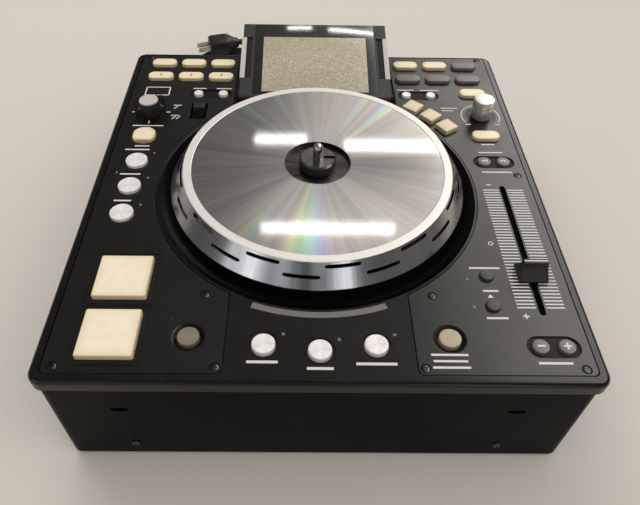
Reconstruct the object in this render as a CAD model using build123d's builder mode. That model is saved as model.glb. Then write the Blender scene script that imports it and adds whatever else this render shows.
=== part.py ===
from build123d import *
from math import atan2, cos, degrees, radians, sin, tan
import os

os.makedirs("parts", exist_ok=True)

# ---------------------------------------------------------------- driving sizes, millimetres
# Frame: +X to the right, +Y to the back, +Z up.  The origin lies on the surface that the
# feet stand on, under the middle of the box that holds the deck and its display.

# Body
case_width = 357.4          # across the rim
front_reach = 180.7         # platter axis to the front edge of the rim
back_reach = 200.3          # platter axis to the back edge of the rim
deck_height = 105.0         # floor to the deck surface
foot_height = 3.0
rim_depth = 10.0            # height of the rim band
rim_width = 6.6             # rim edge to the panel groove
rim_overhang = 2.6          # rim edge to the wall below it
rim_round = 3.6
corner_radius = 9.0
wall = 2.8                  # lower case walls and floor
plate = 2.7                 # moulded plate under the panels
panel = 2.2                 # control panels
fit_gap = 0.3               # clearance round anything that drops into place
groove = 0.5                # visible line round a panel

# Platter and its well
skirt_radius = 114.3
ring_radius = 102.9
ring_height = 23.5          # deck to the platter's top
skirt_height = 7.3          # deck to the skirt's lower edge
skirt_wall = 2.2
well_margin = 10.7          # skirt to the edge of the well
well_depth = 12.0
dish_width = 17.0           # sloping part of the well
hub_recess_radius = 25.5
hub_recess_depth = 3.5
hub_radius = 14.0
hub_rise = 4.7              # hub above the platter's top
spindle_radius = 3.6
spindle_rise = 17.0         # spindle tip above the platter's top
shaft_radius = 4.0
slot_count = 12             # slots in each row round the skirt
slot_width = 2.6
slot_sweep = 13.4           # degrees

# Display
display_width = 141.0
display_reach = 215.3       # platter axis to the display's back edge
display_front = 121.5       # platter axis to the tilt axis
display_tilt = 13.0
display_edge = 3.9          # deck to the sloping face, above the tilt axis
display_sink = 2.6          # recess of the deck under the display
trunnion_radius = 1.2
lens_width = 117.6
lens_thickness = 2.0

# Light bar in front of the well
light_width = 4.9
light_half_angle = 20.5
light_depth = 2.4

# Controls, placed from the outer edge of each panel
column_inset = 23.6         # outermost control column
column_step = 29.0          # from one column of pads to the next
small_travel = 0.8
key_travel = 1.2
cap_gap = 0.4               # cap to panel, all round
flange = 0.7                # rim under the panel that keeps a cap in
flange_depth = 1.0
board_drop = 8.0            # plate to the switch boards
board = 1.6
stem_radius = 1.6

shaft_hole = 3.4            # hole for the knobs' shafts
motor_opening = 34.0

# Power lead
cord_radius = 3.5
coil_turn_radius = 39.0     # middle of the turns

# ---------------------------------------------------------------- places worked out from them
platter_y = (front_reach - display_reach) / 2
case_depth = front_reach + back_reach
case_y = platter_y + (back_reach - front_reach) / 2
front_edge = platter_y - front_reach
back_edge = platter_y + back_reach
deck = deck_height
pocket_floor = deck - panel
plate_bottom = pocket_floor - plate
lap = 3.0                   # the rim laps the lower case's wall by this
wall_top = deck - rim_depth + lap
well_radius = skirt_radius + well_margin
well_lip = 1.2
well_floor = deck - well_depth
panel_edge = case_width / 2 - rim_width
column = panel_edge - column_inset
display_bay = display_width / 2 + 4.0
display_bottom = deck - display_sink + 0.6
board_top = plate_bottom - board_drop
cap_bottom = pocket_floor - 0.2 - flange_depth
switch_height = 4.0
tilt_y = platter_y + display_front
tilt_z = deck + 0.9
light_inner = well_radius + well_lip + 0.3
light_outer = light_inner + light_width
outer_wall_x = case_width / 2 - rim_overhang
outer_wall_back = back_edge - rim_overhang
outer_wall_front = front_edge + rim_overhang

platter_axis = Axis((0, platter_y, 0), (0, 0, 1))
standing = (Align.CENTER, Align.CENTER, Align.MIN)
hanging = (Align.CENTER, Align.CENTER, Align.MAX)


def on_deck(x, y):
    """A point given from the platter's axis."""
    return (x, platter_y + y)


def radial_plane(turn=0.0):
    """The upright plane through the platter's axis, its x pointing outwards."""
    a = radians(turn)
    return Plane(origin=(0, platter_y, 0), x_dir=(cos(a), sin(a), 0), z_dir=(sin(a), -cos(a), 0))


def save(piece, label):
    piece.label = label
    export_step(piece, f"parts/{label}.step")
    print(label, len(piece.solids()), "solids", "valid" if piece.is_valid else "INVALID")


# ---------------------------------------------------------------- control layout
# Every place is (x, y) from the platter's axis.
inner_1 = column - column_step
inner_2 = column - 2 * column_step
pads = {}
for side, tag in ((-1, "left"), (1, "right")):
    for number, x in ((1, inner_2), (2, inner_1), (3, column)):
        place = 4 - number if side < 0 else number
        pads[f"{tag}_mode_pad_{place}"] = (side * x, 179.3)
        pads[f"{tag}_lower_pad_{place}"] = (side * x, 155.2)
pads["playlist_pad"] = (column, 131.0)
pads["back_pad"] = (column, 65.5)
pad_size = (24.0, 12.0)
pad_round = 5.2
pad_rise = 2.8

small_buttons = {
    "left_memory_button_1": (-(inner_2 + 18.6), 127.2),
    "left_memory_button_2": (-(inner_2 - 4.4), 127.2),
    "right_memory_button_1": (inner_2 - 4.4, 128.2),
    "right_memory_button_2": (inner_2 + 18.6, 128.2),
}
small_radius = 4.2
small_rise = 1.8

effect_buttons = {
    "echo_button": (-column, 27.0),
    "flanger_button": (-column, -4.2),
    "filter_button": (-column, -35.2),
}
effect_radius = 8.9
effect_rise = 2.4

front_buttons = {
    "brake_button": (-35.7, -153.0),
    "dump_button": (0.0, -157.2),
    "reverse_button": (35.7, -153.0),
}
front_radius = 7.6
front_rise = 2.6
front_ring = 10.1
ring_step = 0.8
front_lamps = [(-23.3, -144.4), (12.4, -148.4), (48.1, -144.4)]

round_buttons = {"mix_button": (-83.8, -147.0), "source_button": (83.4, -147.0)}
round_radius = 7.2
round_rise = 0.9
round_dish = 10.9

pitch_buttons = {"key_adjust_button": (117.2, -94.4), "range_button": (116.4, -120.7)}
pitch_radius = 4.8
pitch_rise = 2.0

pair_buttons = {
    "search_back_button": (column - 8.0, 31.0),
    "search_forward_button": (column + 8.0, 31.0),
    "bend_down_button": (column - 8.4, -152.8),
    "bend_up_button": (column + 8.4, -152.8),
}
pair_radius = 5.4
pair_rise = 1.2

big_keys = {"cue_key": (-134.0, -99.0), "play_key": (-134.0, -146.0)}
big_size = 36.5
big_frame = 45.4
big_rise = 3.6

arc_keys = {"arc_key_1": 50.0, "arc_key_2": 41.9, "arc_key_3": 33.8}
arc_radius = well_radius + 14.6
arc_size = 14.6
arc_rise = 3.6

tap_place = (-column, 61.6)
tap_radius = 10.4
tap_rise = 2.4

tempo_place = (-column, 96.2)
tempo_radius = 9.0
tempo_rise = 14.0

select_place = (column + 1.4, 96.2)
select_radius = 9.2
select_rise = 18.5
select_cap = 6.5           # height of the upper band
select_groove = 0.7        # width of the groove under it
select_edge = 0.9
select_seat = 13.6

lever_place = (-105.8, 99.6)
lever_slot = (14.6, 24.8)
lever_travel = 9.0
lever_size = (11.0, 8.6)
lever_rise = 3.5
lever_well = 6.0
lever_edge = 0.8

fader_x = column
fader_middle = -63.5
fader_travel = 118.0
fader_slot = fader_travel + 10.0
fader_slot_width = 3.6
fader_rest = -29.0          # cap's place from the middle of the slot
fader_size = (20.4, 17.0)
fader_ridge = (16.8, 4.4)
fader_rise = 14.6

pockets = [                 # obround recesses: centre, length, width
    ((-(inner_2 + 7.1), 127.2), 38.2, 14.4),
    ((inner_2 + 7.1, 128.2), 38.2, 14.4),
    ((column, 31.0), 34.4, 15.6),
    ((column, -152.8), 34.8, 16.6),
]
pocket_depth = 1.0
frame_step = 0.4

panel_screws = [
    (-(panel_edge - 7.6), -169.2),
    (-65.0, -169.2),
    (-76.8, -112.4),
    (-(panel_edge - 7.6), 13.8),
    (-(panel_edge - 7.6), 192.0),
]
panel_screws += [(-x, y) for x, y in panel_screws]
panel_lamps = [
    (-(column - 12.4), 38.6),
    (-(column - 12.4), 6.6),
    (-(column - 12.4), -25.2),
    (103.4, -97.0),
    (103.8, -121.2),
]
lamp_radius = 1.1
lamp_depth = 2.0

board_posts = [
    (-(column + 9.6), -122.5),
    (-70.5, -157.5),
    (-(column + 9.6), 10.5),
    (-(inner_2 + 7.6), 141.0),
    (-(inner_2 + 14.5), 167.2),
]
board_posts += [(-x, y) for x, y in board_posts]
board_posts += [(-17.8, -164.0), (17.8, -164.0)]
post_radius = 3.0

screw_radius = 1.5
screw_head_radius = 2.9
screw_head = 1.3
screw_recess = 3.3

round_caps = {}
for group, radius in (
    (small_buttons, small_radius),
    (effect_buttons, effect_radius),
    (front_buttons, front_radius),
    (round_buttons, round_radius),
    (pitch_buttons, pitch_radius),
    (pair_buttons, pair_radius),
):
    for name, place in group.items():
        round_caps[name] = (place, radius)


def arc_place(turn):
    """Centre of a key on the arc beside the platter."""
    return (arc_radius * cos(radians(turn)), arc_radius * sin(radians(turn)))


def cap_openings(grow):
    """Every cap's outline, grown by a clearance, in the sketch being built."""
    for place, radius in round_caps.values():
        with Locations(on_deck(*place)):
            Circle(radius + grow)
    for place in pads.values():
        with Locations(on_deck(*place)):
            RectangleRounded(pad_size[0] + 2 * grow, pad_size[1] + 2 * grow, pad_round + grow)
    for place in big_keys.values():
        with Locations(on_deck(*place)):
            RectangleRounded(big_size + 2 * grow, big_size + 2 * grow, 1.5 + grow)
    for turn in arc_keys.values():
        with Locations(Location((*on_deck(*arc_place(turn)), 0), (0, 0, turn))):
            RectangleRounded(arc_size + 2 * grow, arc_size + 2 * grow, 1.0 + grow)
    with Locations(on_deck(*tap_place)):
        Circle(tap_radius + grow)
    for place in (tempo_place, select_place):
        with Locations(on_deck(*place)):
            Circle(shaft_hole + grow)
    with Locations(on_deck(fader_x, fader_middle)):
        SlotOverall(fader_slot + 2 * grow, fader_slot_width + 2 * grow, rotation=90)


def lever_opening(grow):
    with Locations(on_deck(*lever_place)):
        Rectangle(lever_slot[0] + 2 * grow, lever_slot[1] + 2 * grow)


def panel_outline(side, shrink):
    """One control panel, seen from above, in the sketch being built."""
    outer = panel_edge - shrink
    inner = 60.0 + shrink
    front = platter_y - front_reach + rim_width + shrink
    back = platter_y + back_reach - rim_width + 3.0 - shrink
    with Locations((side * (outer + inner) / 2, (front + back) / 2)):
        RectangleRounded(outer - inner, back - front, 4.0)
    with Locations((0, platter_y)):
        Circle(well_radius + well_lip + shrink, mode=Mode.SUBTRACT)
    with Locations((0, platter_y + back_reach)):
        Rectangle(2 * (display_bay + shrink), 2 * back_reach, mode=Mode.SUBTRACT)


# ---------------------------------------------------------------- top case
dish_foot = well_radius - dish_width
dish_middle = well_floor + 0.36 * well_depth
bay_length = back_reach - 90.0
light_reach = 1.5 * well_radius

with BuildPart() as top_case:
    with BuildSketch(Plane.XY.offset(deck - rim_depth)):
        with Locations((0, case_y)):
            RectangleRounded(case_width, case_depth, corner_radius)
    extrude(amount=rim_depth)
    fillet(top_case.edges().group_by(Axis.Z)[-1], rim_round)
    # lap over the lower case's wall
    with BuildSketch(Plane.XY.offset(deck - rim_depth)):
        with Locations((0, case_y)):
            RectangleRounded(
                case_width - 2 * rim_overhang + 2 * fit_gap,
                case_depth - 2 * rim_overhang + 2 * fit_gap,
                corner_radius - rim_overhang + fit_gap,
            )
    extrude(amount=lap, mode=Mode.SUBTRACT)
    # hollow under the moulded plate
    with BuildSketch(Plane.XY.offset(wall_top)):
        with Locations((0, case_y)):
            RectangleRounded(
                case_width - 2 * rim_overhang - 2 * wall,
                case_depth - 2 * rim_overhang - 2 * wall,
                corner_radius - rim_overhang - wall + 1.0,
            )
    extrude(amount=plate_bottom - wall_top, mode=Mode.SUBTRACT)
    # seats of the two panels
    with BuildSketch(Plane.XY.offset(pocket_floor)):
        panel_outline(-1, 0)
        panel_outline(1, 0)
    extrude(amount=panel, mode=Mode.SUBTRACT)
    # the well
    with BuildSketch(Plane.XY.offset(wall_top - 1)):
        with Locations((0, platter_y)):
            Circle(well_radius + 0.2)
    extrude(amount=rim_depth, mode=Mode.SUBTRACT)
    with BuildSketch(radial_plane()):
        with BuildLine():
            Polyline(
                (dish_foot, well_floor),
                (motor_opening, well_floor),
                (motor_opening, well_floor - plate),
                (dish_foot, well_floor - plate),
            )
            ThreePointArc(
                (dish_foot, well_floor - plate),
                (well_radius - 0.3 * dish_width, dish_middle - plate),
                (well_radius + well_lip + 2.0, plate_bottom),
            )
            Polyline(
                (well_radius + well_lip + 2.0, plate_bottom),
                (well_radius + well_lip, pocket_floor),
                (well_radius + well_lip, deck),
                (well_radius, deck),
            )
            ThreePointArc(
                (well_radius, deck),
                (well_radius - 0.42 * dish_width, dish_middle),
                (dish_foot, well_floor),
            )
        make_face()
    revolve(axis=platter_axis)
    # shallow bay under the display, open to the back
    with BuildSketch(Plane.XY.offset(deck - display_sink)):
        with Locations((0, platter_y + 90.0 + bay_length / 2 + 1)):
            Rectangle(2 * display_bay, bay_length + 2)
    extrude(amount=display_sink + 1, mode=Mode.SUBTRACT)
    # openings under the controls
    with BuildSketch(Plane.XY.offset(plate_bottom - 1)):
        cap_openings(cap_gap + 0.8)
        lever_opening(cap_gap + 0.8)
        for place in panel_screws:
            with Locations(on_deck(*place)):
                Circle(screw_radius + 0.05)
    extrude(amount=plate + 1, mode=Mode.SUBTRACT)
    # the three front buttons stand in the moulding itself, each in a stepped ring
    with BuildSketch(Plane.XY.offset(pocket_floor - 1)):
        for place in front_buttons.values():
            with Locations(on_deck(*place)):
                Circle(front_radius + cap_gap)
    extrude(amount=panel + 2, mode=Mode.SUBTRACT)
    with BuildSketch(Plane.XY.offset(deck - ring_step)):
        for place in front_buttons.values():
            with Locations(on_deck(*place)):
                Circle(front_ring)
    extrude(amount=ring_step + 1, mode=Mode.SUBTRACT)
    # lamps beside the front buttons
    with BuildSketch(Plane.XY.offset(deck - lamp_depth)):
        for place in front_lamps:
            with Locations(on_deck(*place)):
                Circle(lamp_radius + 0.05)
    extrude(amount=lamp_depth + 1, mode=Mode.SUBTRACT)
    # posts that carry the switch boards
    for place in board_posts:
        with Locations((*on_deck(*place), board_top)):
            Cylinder(post_radius, plate_bottom - board_top, align=standing)
    # seat of the light bar
    with BuildSketch(Plane.XY.offset(deck - light_depth)):
        with Locations((0, platter_y)):
            Circle(light_outer)
            Circle(light_inner, mode=Mode.SUBTRACT)
        with BuildLine():
            Polyline(
                on_deck(0, 0),
                on_deck(-light_reach * tan(radians(light_half_angle)), -light_reach),
                on_deck(light_reach * tan(radians(light_half_angle)), -light_reach),
                close=True,
            )
        make_face(mode=Mode.INTERSECT)
    extrude(amount=light_depth + 0.5, mode=Mode.SUBTRACT)
    # ears that hold the display's trunnions
    for side in (-1, 1):
        with BuildSketch(Plane.YZ.offset(side * (display_width / 2 + 1.9))):
            with Locations((tilt_y, tilt_z)):
                Circle(2.7)
            with Locations((tilt_y, (tilt_z + deck - display_sink) / 2)):
                Rectangle(5.4, tilt_z - deck + display_sink)
            with Locations((tilt_y, tilt_z)):
                Circle(trunnion_radius + 0.05, mode=Mode.SUBTRACT)
        extrude(amount=1.3, both=True)
save(top_case.part, "top_case")

# ---------------------------------------------------------------- control panels
with BuildPart() as control_panels:
    with BuildSketch(Plane.XY.offset(pocket_floor)):
        panel_outline(-1, groove)
        panel_outline(1, groove)
    extrude(amount=panel)
    chamfer(control_panels.edges().group_by(Axis.Z)[-1], 0.3)
    # pockets of the paired buttons
    with BuildSketch(Plane.XY.offset(deck - pocket_depth)):
        for place, length, width in pockets:
            with Locations(on_deck(*place)):
                SlotOverall(length, width)
    extrude(amount=pocket_depth, mode=Mode.SUBTRACT)
    # shallow square frames round the two big keys, dish round the select knob
    with BuildSketch(Plane.XY.offset(deck - frame_step)):
        for place in big_keys.values():
            with Locations(on_deck(*place)):
                Rectangle(big_frame, big_frame)
        with Locations(on_deck(*select_place)):
            Circle(select_seat)
    extrude(amount=frame_step, mode=Mode.SUBTRACT)
    # raised ring round each big key
    with BuildSketch(Plane.XY.offset(deck - frame_step)):
        for place in big_keys.values():
            with Locations(on_deck(*place)):
                Rectangle(big_frame - 1.2, big_frame - 1.2)
    extrude(amount=frame_step)
    with BuildSketch(Plane.XY.offset(pocket_floor)):
        cap_openings(cap_gap)
        lever_opening(0)
        for place in panel_lamps:
            with Locations(on_deck(*place)):
                Circle(lamp_radius + 0.05)
    extrude(amount=panel, mode=Mode.SUBTRACT)
    for place in round_buttons.values():
        with Locations((*on_deck(*place), deck)):
            CounterSinkHole(round_radius + cap_gap, round_dish, depth=panel, counter_sink_angle=110)
    for place in panel_screws:
        with Locations((*on_deck(*place), deck)):
            CounterBoreHole(screw_radius + 0.2, screw_recess, screw_head - 0.3, depth=panel)
save(control_panels.part, "control_panels")

# ---------------------------------------------------------------- lower case
rear_plate = (150.0, 34.0)
rear_place = (26.0, deck - 47.0)
relief_place = (-58.0, 15.0)
relief_radius = 6.4
switch_place = (-138.0, deck - 45.0)
switch_window = (13.0, 9.0)
wall_screws = [(-127.8, 18.5), (127.8, 18.5)]
wall_marks = [(-129.2, deck - 37.8), (129.2, deck - 37.8)]
low_screw = 18.5
high_screw = deck - 21.0
side_screws = [(y, z) for z in (low_screw, high_screw) for y in (-110.0, 90.0)]
rear_screws = [(-160.0, low_screw), (160.0, low_screw), (0.0, high_screw)]
corner_post = 5.2           # wall to the middle of a corner post
foot_radius = 12.0
foot_inset = 30.0
floor_top = foot_height + wall
main_board_posts = [(-60.0, 40.0), (80.0, 40.0), (-60.0, 150.0), (80.0, 150.0)]
main_board_lift = 8.0

with BuildPart() as lower_case:
    with BuildSketch(Plane.XY.offset(foot_height)):
        with Locations((0, case_y)):
            RectangleRounded(
                case_width - 2 * rim_overhang,
                case_depth - 2 * rim_overhang,
                corner_radius - rim_overhang,
            )
    extrude(amount=wall_top - foot_height)
    fillet(lower_case.edges().group_by(Axis.Z)[0], 1.4)
    with BuildSketch(Plane.XY.offset(floor_top)):
        with Locations((0, case_y)):
            RectangleRounded(
                case_width - 2 * rim_overhang - 2 * wall,
                case_depth - 2 * rim_overhang - 2 * wall,
                corner_radius - rim_overhang - wall + 1.0,
            )
    extrude(amount=wall_top - floor_top, mode=Mode.SUBTRACT)
    # corner posts that the top case is screwed to
    with Locations((0, case_y, floor_top)):
        with GridLocations(
            case_width - 2 * (rim_overhang + wall + corner_post),
            case_depth - 2 * (rim_overhang + wall + corner_post),
            2,
            2,
        ):
            Cylinder(3.6, plate_bottom - floor_top, align=standing)
    # posts under the main board
    for place in main_board_posts:
        with Locations((*on_deck(*place), floor_top)):
            Cylinder(post_radius, main_board_lift, align=standing)
    # two shallow oval marks and two screw holes in the front wall
    with BuildSketch(Plane.XZ.offset(-outer_wall_front - 1.2)):
        for place in wall_marks:
            with Locations(place):
                Ellipse(6.0, 2.6)
    extrude(amount=2.0, mode=Mode.SUBTRACT)
    for place in wall_screws:
        with Locations(Location((place[0], outer_wall_front, place[1]), (90, 0, 0))):
            Hole(screw_radius + 0.05, depth=wall + 1)
    for side in (-1, 1):
        for y, z in side_screws:
            with Locations(Location((side * outer_wall_x, platter_y + y, z), (0, side * 90, 0))):
                Hole(screw_radius + 0.05, depth=wall + 1)
    for x, z in rear_screws:
        with Locations(Location((x, outer_wall_back, z), (-90, 0, 0))):
            Hole(screw_radius + 0.05, depth=wall + 1)
    # openings in the rear wall
    with BuildSketch(Plane.XZ.offset(-outer_wall_back - 1)):
        with Locations(rear_place):
            RectangleRounded(*rear_plate, 2.0)
        with Locations(switch_place):
            Rectangle(*switch_window)
        with Locations(relief_place):
            Circle(relief_radius + 0.1)
    extrude(amount=wall + 3, mode=Mode.SUBTRACT)
save(lower_case.part, "lower_case")

# ---------------------------------------------------------------- feet
with BuildPart() as rubber_feet:
    with Locations((0, case_y, 0)):
        with GridLocations(case_width - 2 * foot_inset, case_depth - 2 * foot_inset, 2, 2):
            Cylinder(foot_radius, foot_height, align=standing)
    chamfer(rubber_feet.edges().group_by(Axis.Z)[0], 0.8)
save(rubber_feet.part, "rubber_feet")

# ---------------------------------------------------------------- screws
def pan_head(seat, length):
    """A cross-recess pan head screw in the part being built, its head along the seat's z."""
    with Locations(seat):
        Cylinder(screw_head_radius, screw_head, align=standing)
        Cylinder(screw_radius, length, align=hanging)


with BuildPart() as case_screws:
    for place in panel_screws:
        pan_head(Location((*on_deck(*place), deck - screw_head + 0.3)), panel + plate - screw_head)
    for place in wall_screws:
        pan_head(Location((place[0], outer_wall_front, place[1]), (90, 0, 0)), wall + 3)
    for side in (-1, 1):
        for y, z in side_screws:
            pan_head(Location((side * outer_wall_x, platter_y + y, z), (0, side * 90, 0)), wall + 3)
    for x, z in rear_screws:
        pan_head(Location((x, outer_wall_back, z), (-90, 0, 0)), wall + 3)
save(case_screws.part, "case_screws")

# ---------------------------------------------------------------- light bar and lamps
with BuildPart() as light_bar:
    with BuildSketch(Plane.XY.offset(deck - light_depth)):
        with Locations((0, platter_y)):
            Circle(light_outer - 0.1)
            Circle(light_inner + 0.1, mode=Mode.SUBTRACT)
        with BuildLine():
            Polyline(
                on_deck(0, -0.6),
                on_deck(-light_reach * tan(radians(light_half_angle)), -0.6 - light_reach),
                on_deck(light_reach * tan(radians(light_half_angle)), -0.6 - light_reach),
                close=True,
            )
        make_face(mode=Mode.INTERSECT)
    extrude(amount=light_depth - 0.1)
    with BuildSketch(Plane.XY.offset(deck - lamp_depth)):
        for place in front_lamps:
            with Locations(on_deck(*place)):
                Circle(lamp_radius)
    extrude(amount=lamp_depth + 0.1)
    with BuildSketch(Plane.XY.offset(pocket_floor)):
        for place in panel_lamps:
            with Locations(on_deck(*place)):
                Circle(lamp_radius)
    extrude(amount=panel + 0.1)
save(light_bar.part, "light_bar")

# ---------------------------------------------------------------- platter
platter_top = deck + ring_height
face_top = platter_top - 0.25
ring_width = 5.9
face_radius = ring_radius - ring_width
recess_floor = platter_top - hub_recess_depth
web = 4.5                   # thickness of the platter's top
boss_radius = 30.0
boss_foot = deck + 6.5
skirt_foot = deck + skirt_height
lip_height = 1.5
skirt_run = skirt_radius - ring_radius - 0.3
skirt_drop = ring_height - 0.5 - skirt_height
slot_rows = (20.0, 14.0)    # heights of the two rows above the deck


def skirt_at(height):
    """Radius of the skirt's outer face at a height above the deck."""
    return skirt_radius - skirt_run * (height - skirt_height) / skirt_drop


with BuildPart() as platter:
    with BuildSketch(radial_plane()):
        with BuildLine():
            Polyline(
                (shaft_radius + 0.05, boss_foot),
                (boss_radius, boss_foot),
                (boss_radius, platter_top - web),
                (ring_radius - skirt_wall, platter_top - web),
                (skirt_radius - skirt_wall, skirt_foot),
                (skirt_radius - skirt_wall, skirt_foot - lip_height),
                (skirt_radius, skirt_foot - lip_height),
                (skirt_radius, skirt_foot),
                (ring_radius + 0.3, platter_top - 0.5),
                (ring_radius, platter_top),
                (face_radius, platter_top),
                (face_radius - 0.3, face_top),
                (hub_recess_radius, face_top),
                (hub_recess_radius, recess_floor),
                (shaft_radius + 0.05, recess_floor),
                close=True,
            )
        make_face()
    revolve(axis=platter_axis)
    # two staggered rows of slots through the skirt
    slot_pitch = 360 / slot_count
    for row, height in enumerate(slot_rows):
        for number in range(slot_count):
            start = -90 + 8.6 + slot_pitch * (number + row / 2) - slot_sweep / 2
            with BuildSketch(radial_plane(start)):
                with Locations((skirt_at(height) - skirt_wall / 2, deck + height)):
                    Rectangle(3 * skirt_wall, slot_width, rotation=degrees(atan2(skirt_run, skirt_drop)))
            revolve(axis=platter_axis, revolution_arc=-slot_sweep, mode=Mode.SUBTRACT)
save(platter.part, "platter")

# ---------------------------------------------------------------- spindle, rotor and hub
shaft_foot = floor_top + 44.0
hub_top = platter_top + hub_rise
spindle_tip = platter_top + spindle_rise
rotor_radius = 31.0
rotor_wall = 2.5
rotor_foot = well_floor - 1.0

with BuildPart() as drive_spindle:
    # shaft with its rounded tip, and the rotor cup that hangs under the platter
    with BuildSketch(radial_plane()):
        with BuildLine():
            Polyline(
                (0, shaft_foot),
                (shaft_radius, shaft_foot),
                (shaft_radius, boss_foot - 2.5),
                (rotor_radius, boss_foot - 2.5),
                (rotor_radius, boss_foot),
                (shaft_radius, boss_foot),
                (shaft_radius, recess_floor),
                (spindle_radius, recess_floor),
                (spindle_radius, spindle_tip - 3.0),
            )
            ThreePointArc(
                (spindle_radius, spindle_tip - 3.0),
                (0.72 * spindle_radius, spindle_tip - 0.9),
                (0.2 * spindle_radius, spindle_tip),
            )
            Polyline((0.2 * spindle_radius, spindle_tip), (0, spindle_tip), (0, shaft_foot))
        make_face()
    revolve(axis=platter_axis)
    with BuildSketch(radial_plane()):
        with Locations((rotor_radius - rotor_wall / 2, (rotor_foot + boss_foot - 2.5) / 2)):
            Rectangle(rotor_wall, boss_foot - 2.5 - rotor_foot)
    revolve(axis=platter_axis)
    # hub cap with a radial key slot
    with BuildSketch(radial_plane()):
        with BuildLine():
            Polyline(
                (0, recess_floor),
                (hub_radius, recess_floor),
                (hub_radius, hub_top - 1.2),
                (hub_radius - 1.2, hub_top),
                (0, hub_top),
                close=True,
            )
        make_face()
    revolve(axis=platter_axis)
    with BuildSketch(Plane.XY.offset(hub_top - 2.0)):
        with Locations((spindle_radius + hub_radius / 2 + 1.2, platter_y)):
            Rectangle(hub_radius, 3.0)
    extrude(amount=3.0, mode=Mode.SUBTRACT)
save(drive_spindle.part, "drive_spindle")

# ---------------------------------------------------------------- motor
bracket_radius = 46.0
bracket = 3.0
bracket_top = well_floor - plate
bearing_radius = 8.5
stator_radius = 26.0
stator_poles = 12

with BuildPart() as platter_motor:
    with BuildSketch(radial_plane()):
        with BuildLine():
            Polyline(
                (shaft_radius + 0.04, shaft_foot + 4.0),
                (bearing_radius, shaft_foot + 4.0),
                (bearing_radius, bracket_top - bracket),
                (bracket_radius, bracket_top - bracket),
                (bracket_radius, bracket_top),
                (bearing_radius, bracket_top),
                (bearing_radius, boss_foot - 4.5),
                (shaft_radius + 0.04, boss_foot - 4.5),
                close=True,
            )
        make_face()
    revolve(axis=platter_axis)
    # laminated stator on the bearing tube
    with BuildSketch(Plane.XY.offset(well_floor)):
        with Locations((0, platter_y)):
            Circle(bearing_radius + 7.0)
            with PolarLocations((bearing_radius + stator_radius) / 2, stator_poles):
                Rectangle(stator_radius - bearing_radius, 4.0)
            Circle(bearing_radius - 1.0, mode=Mode.SUBTRACT)
    extrude(amount=9.0)
save(platter_motor.part, "platter_motor")

# ---------------------------------------------------------------- circuit boards
pot_width = 9.0
pot_height = board_drop - 1.4
lever_house = deck - lever_well
encoder = 12.0
main_board = (190.0, 150.0)
main_board_y = 95.0
supply = (70.0, 48.0, 40.0)

sprung = {}
for name, (place, radius) in round_caps.items():
    sprung[name] = place
for name, place in pads.items():
    sprung[name] = place
for name, place in big_keys.items():
    sprung[name] = place
for name, turn in arc_keys.items():
    sprung[name] = arc_place(turn)
sprung["tap_key"] = tap_place

with BuildPart() as circuit_boards:
    with BuildSketch(Plane.XY.offset(board_top - board)):
        for side in (-1, 1):
            outer = column + 13.5
            with Locations((side * (outer + 62.5) / 2, platter_y + 10.0)):
                Rectangle(outer - 62.5, 362.0)
        with Locations((0, platter_y - 157.0)):
            Rectangle(112.0, 28.0)
        with Locations((0, platter_y)):
            Circle(well_radius + 6.0, mode=Mode.SUBTRACT)
    extrude(amount=board)
    # switches under the caps
    with BuildSketch(Plane.XY.offset(board_top)):
        for place in sprung.values():
            with Locations(on_deck(*place)):
                Rectangle(6.0, 6.0)
    extrude(amount=switch_height)
    # slide potentiometer
    with BuildSketch(Plane.XY.offset(board_top)):
        with Locations(on_deck(fader_x, fader_middle)):
            Rectangle(pot_width, fader_slot + 14.0)
    extrude(amount=pot_height)
    with BuildSketch(Plane.XY.offset(board_top + 1.0)):
        with Locations(on_deck(fader_x, fader_middle)):
            Rectangle(fader_slot_width, fader_slot)
    extrude(amount=pot_height, mode=Mode.SUBTRACT)
    # lever switch and the two rotary encoders
    with BuildSketch(Plane.XY.offset(board_top)):
        with Locations(on_deck(*lever_place)):
            Rectangle(lever_slot[0] - 1.0, lever_slot[1] - 1.0)
    extrude(amount=lever_house - board_top)
    with BuildSketch(Plane.XY.offset(board_top)):
        for place in (tempo_place, select_place):
            with Locations(on_deck(*place)):
                Rectangle(encoder, encoder)
    extrude(amount=board_drop - 1.0)
    with BuildSketch(Plane.XY.offset(board_top + 1.0)):
        for place in (tempo_place, select_place):
            with Locations(on_deck(*place)):
                Circle(shaft_hole - 0.35)
    extrude(amount=board_drop, mode=Mode.SUBTRACT)
    # main board with its larger parts
    with BuildSketch(Plane.XY.offset(floor_top + main_board_lift)):
        with Locations((10.0, platter_y + main_board_y)):
            Rectangle(*main_board)
    extrude(amount=board)
    chip_top = floor_top + main_board_lift + board
    with BuildSketch(Plane.XY.offset(chip_top)):
        with Locations((30.0, platter_y + 70.0)):
            Rectangle(28.0, 28.0)
        with Locations((-35.0, platter_y + 70.0), (70.0, platter_y + 60.0)):
            Rectangle(20.0, 14.0)
        with Locations((0.0, platter_y + 110.0), (22.0, platter_y + 112.0), (-28.0, platter_y + 118.0)):
            Circle(5.0)
    extrude(amount=3.0)
    # power supply in the back left corner
    with BuildSketch(Plane.XY.offset(floor_top)):
        with Locations((-128.0, platter_y + 120.0)):
            Rectangle(supply[0], supply[1])
    extrude(amount=supply[2])
save(circuit_boards.part, "circuit_boards")

# ---------------------------------------------------------------- rear sockets
sockets = [-46.0, -24.0, 16.0, 38.0]
socket_radius = 4.15
socket_length = 9.0

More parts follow.
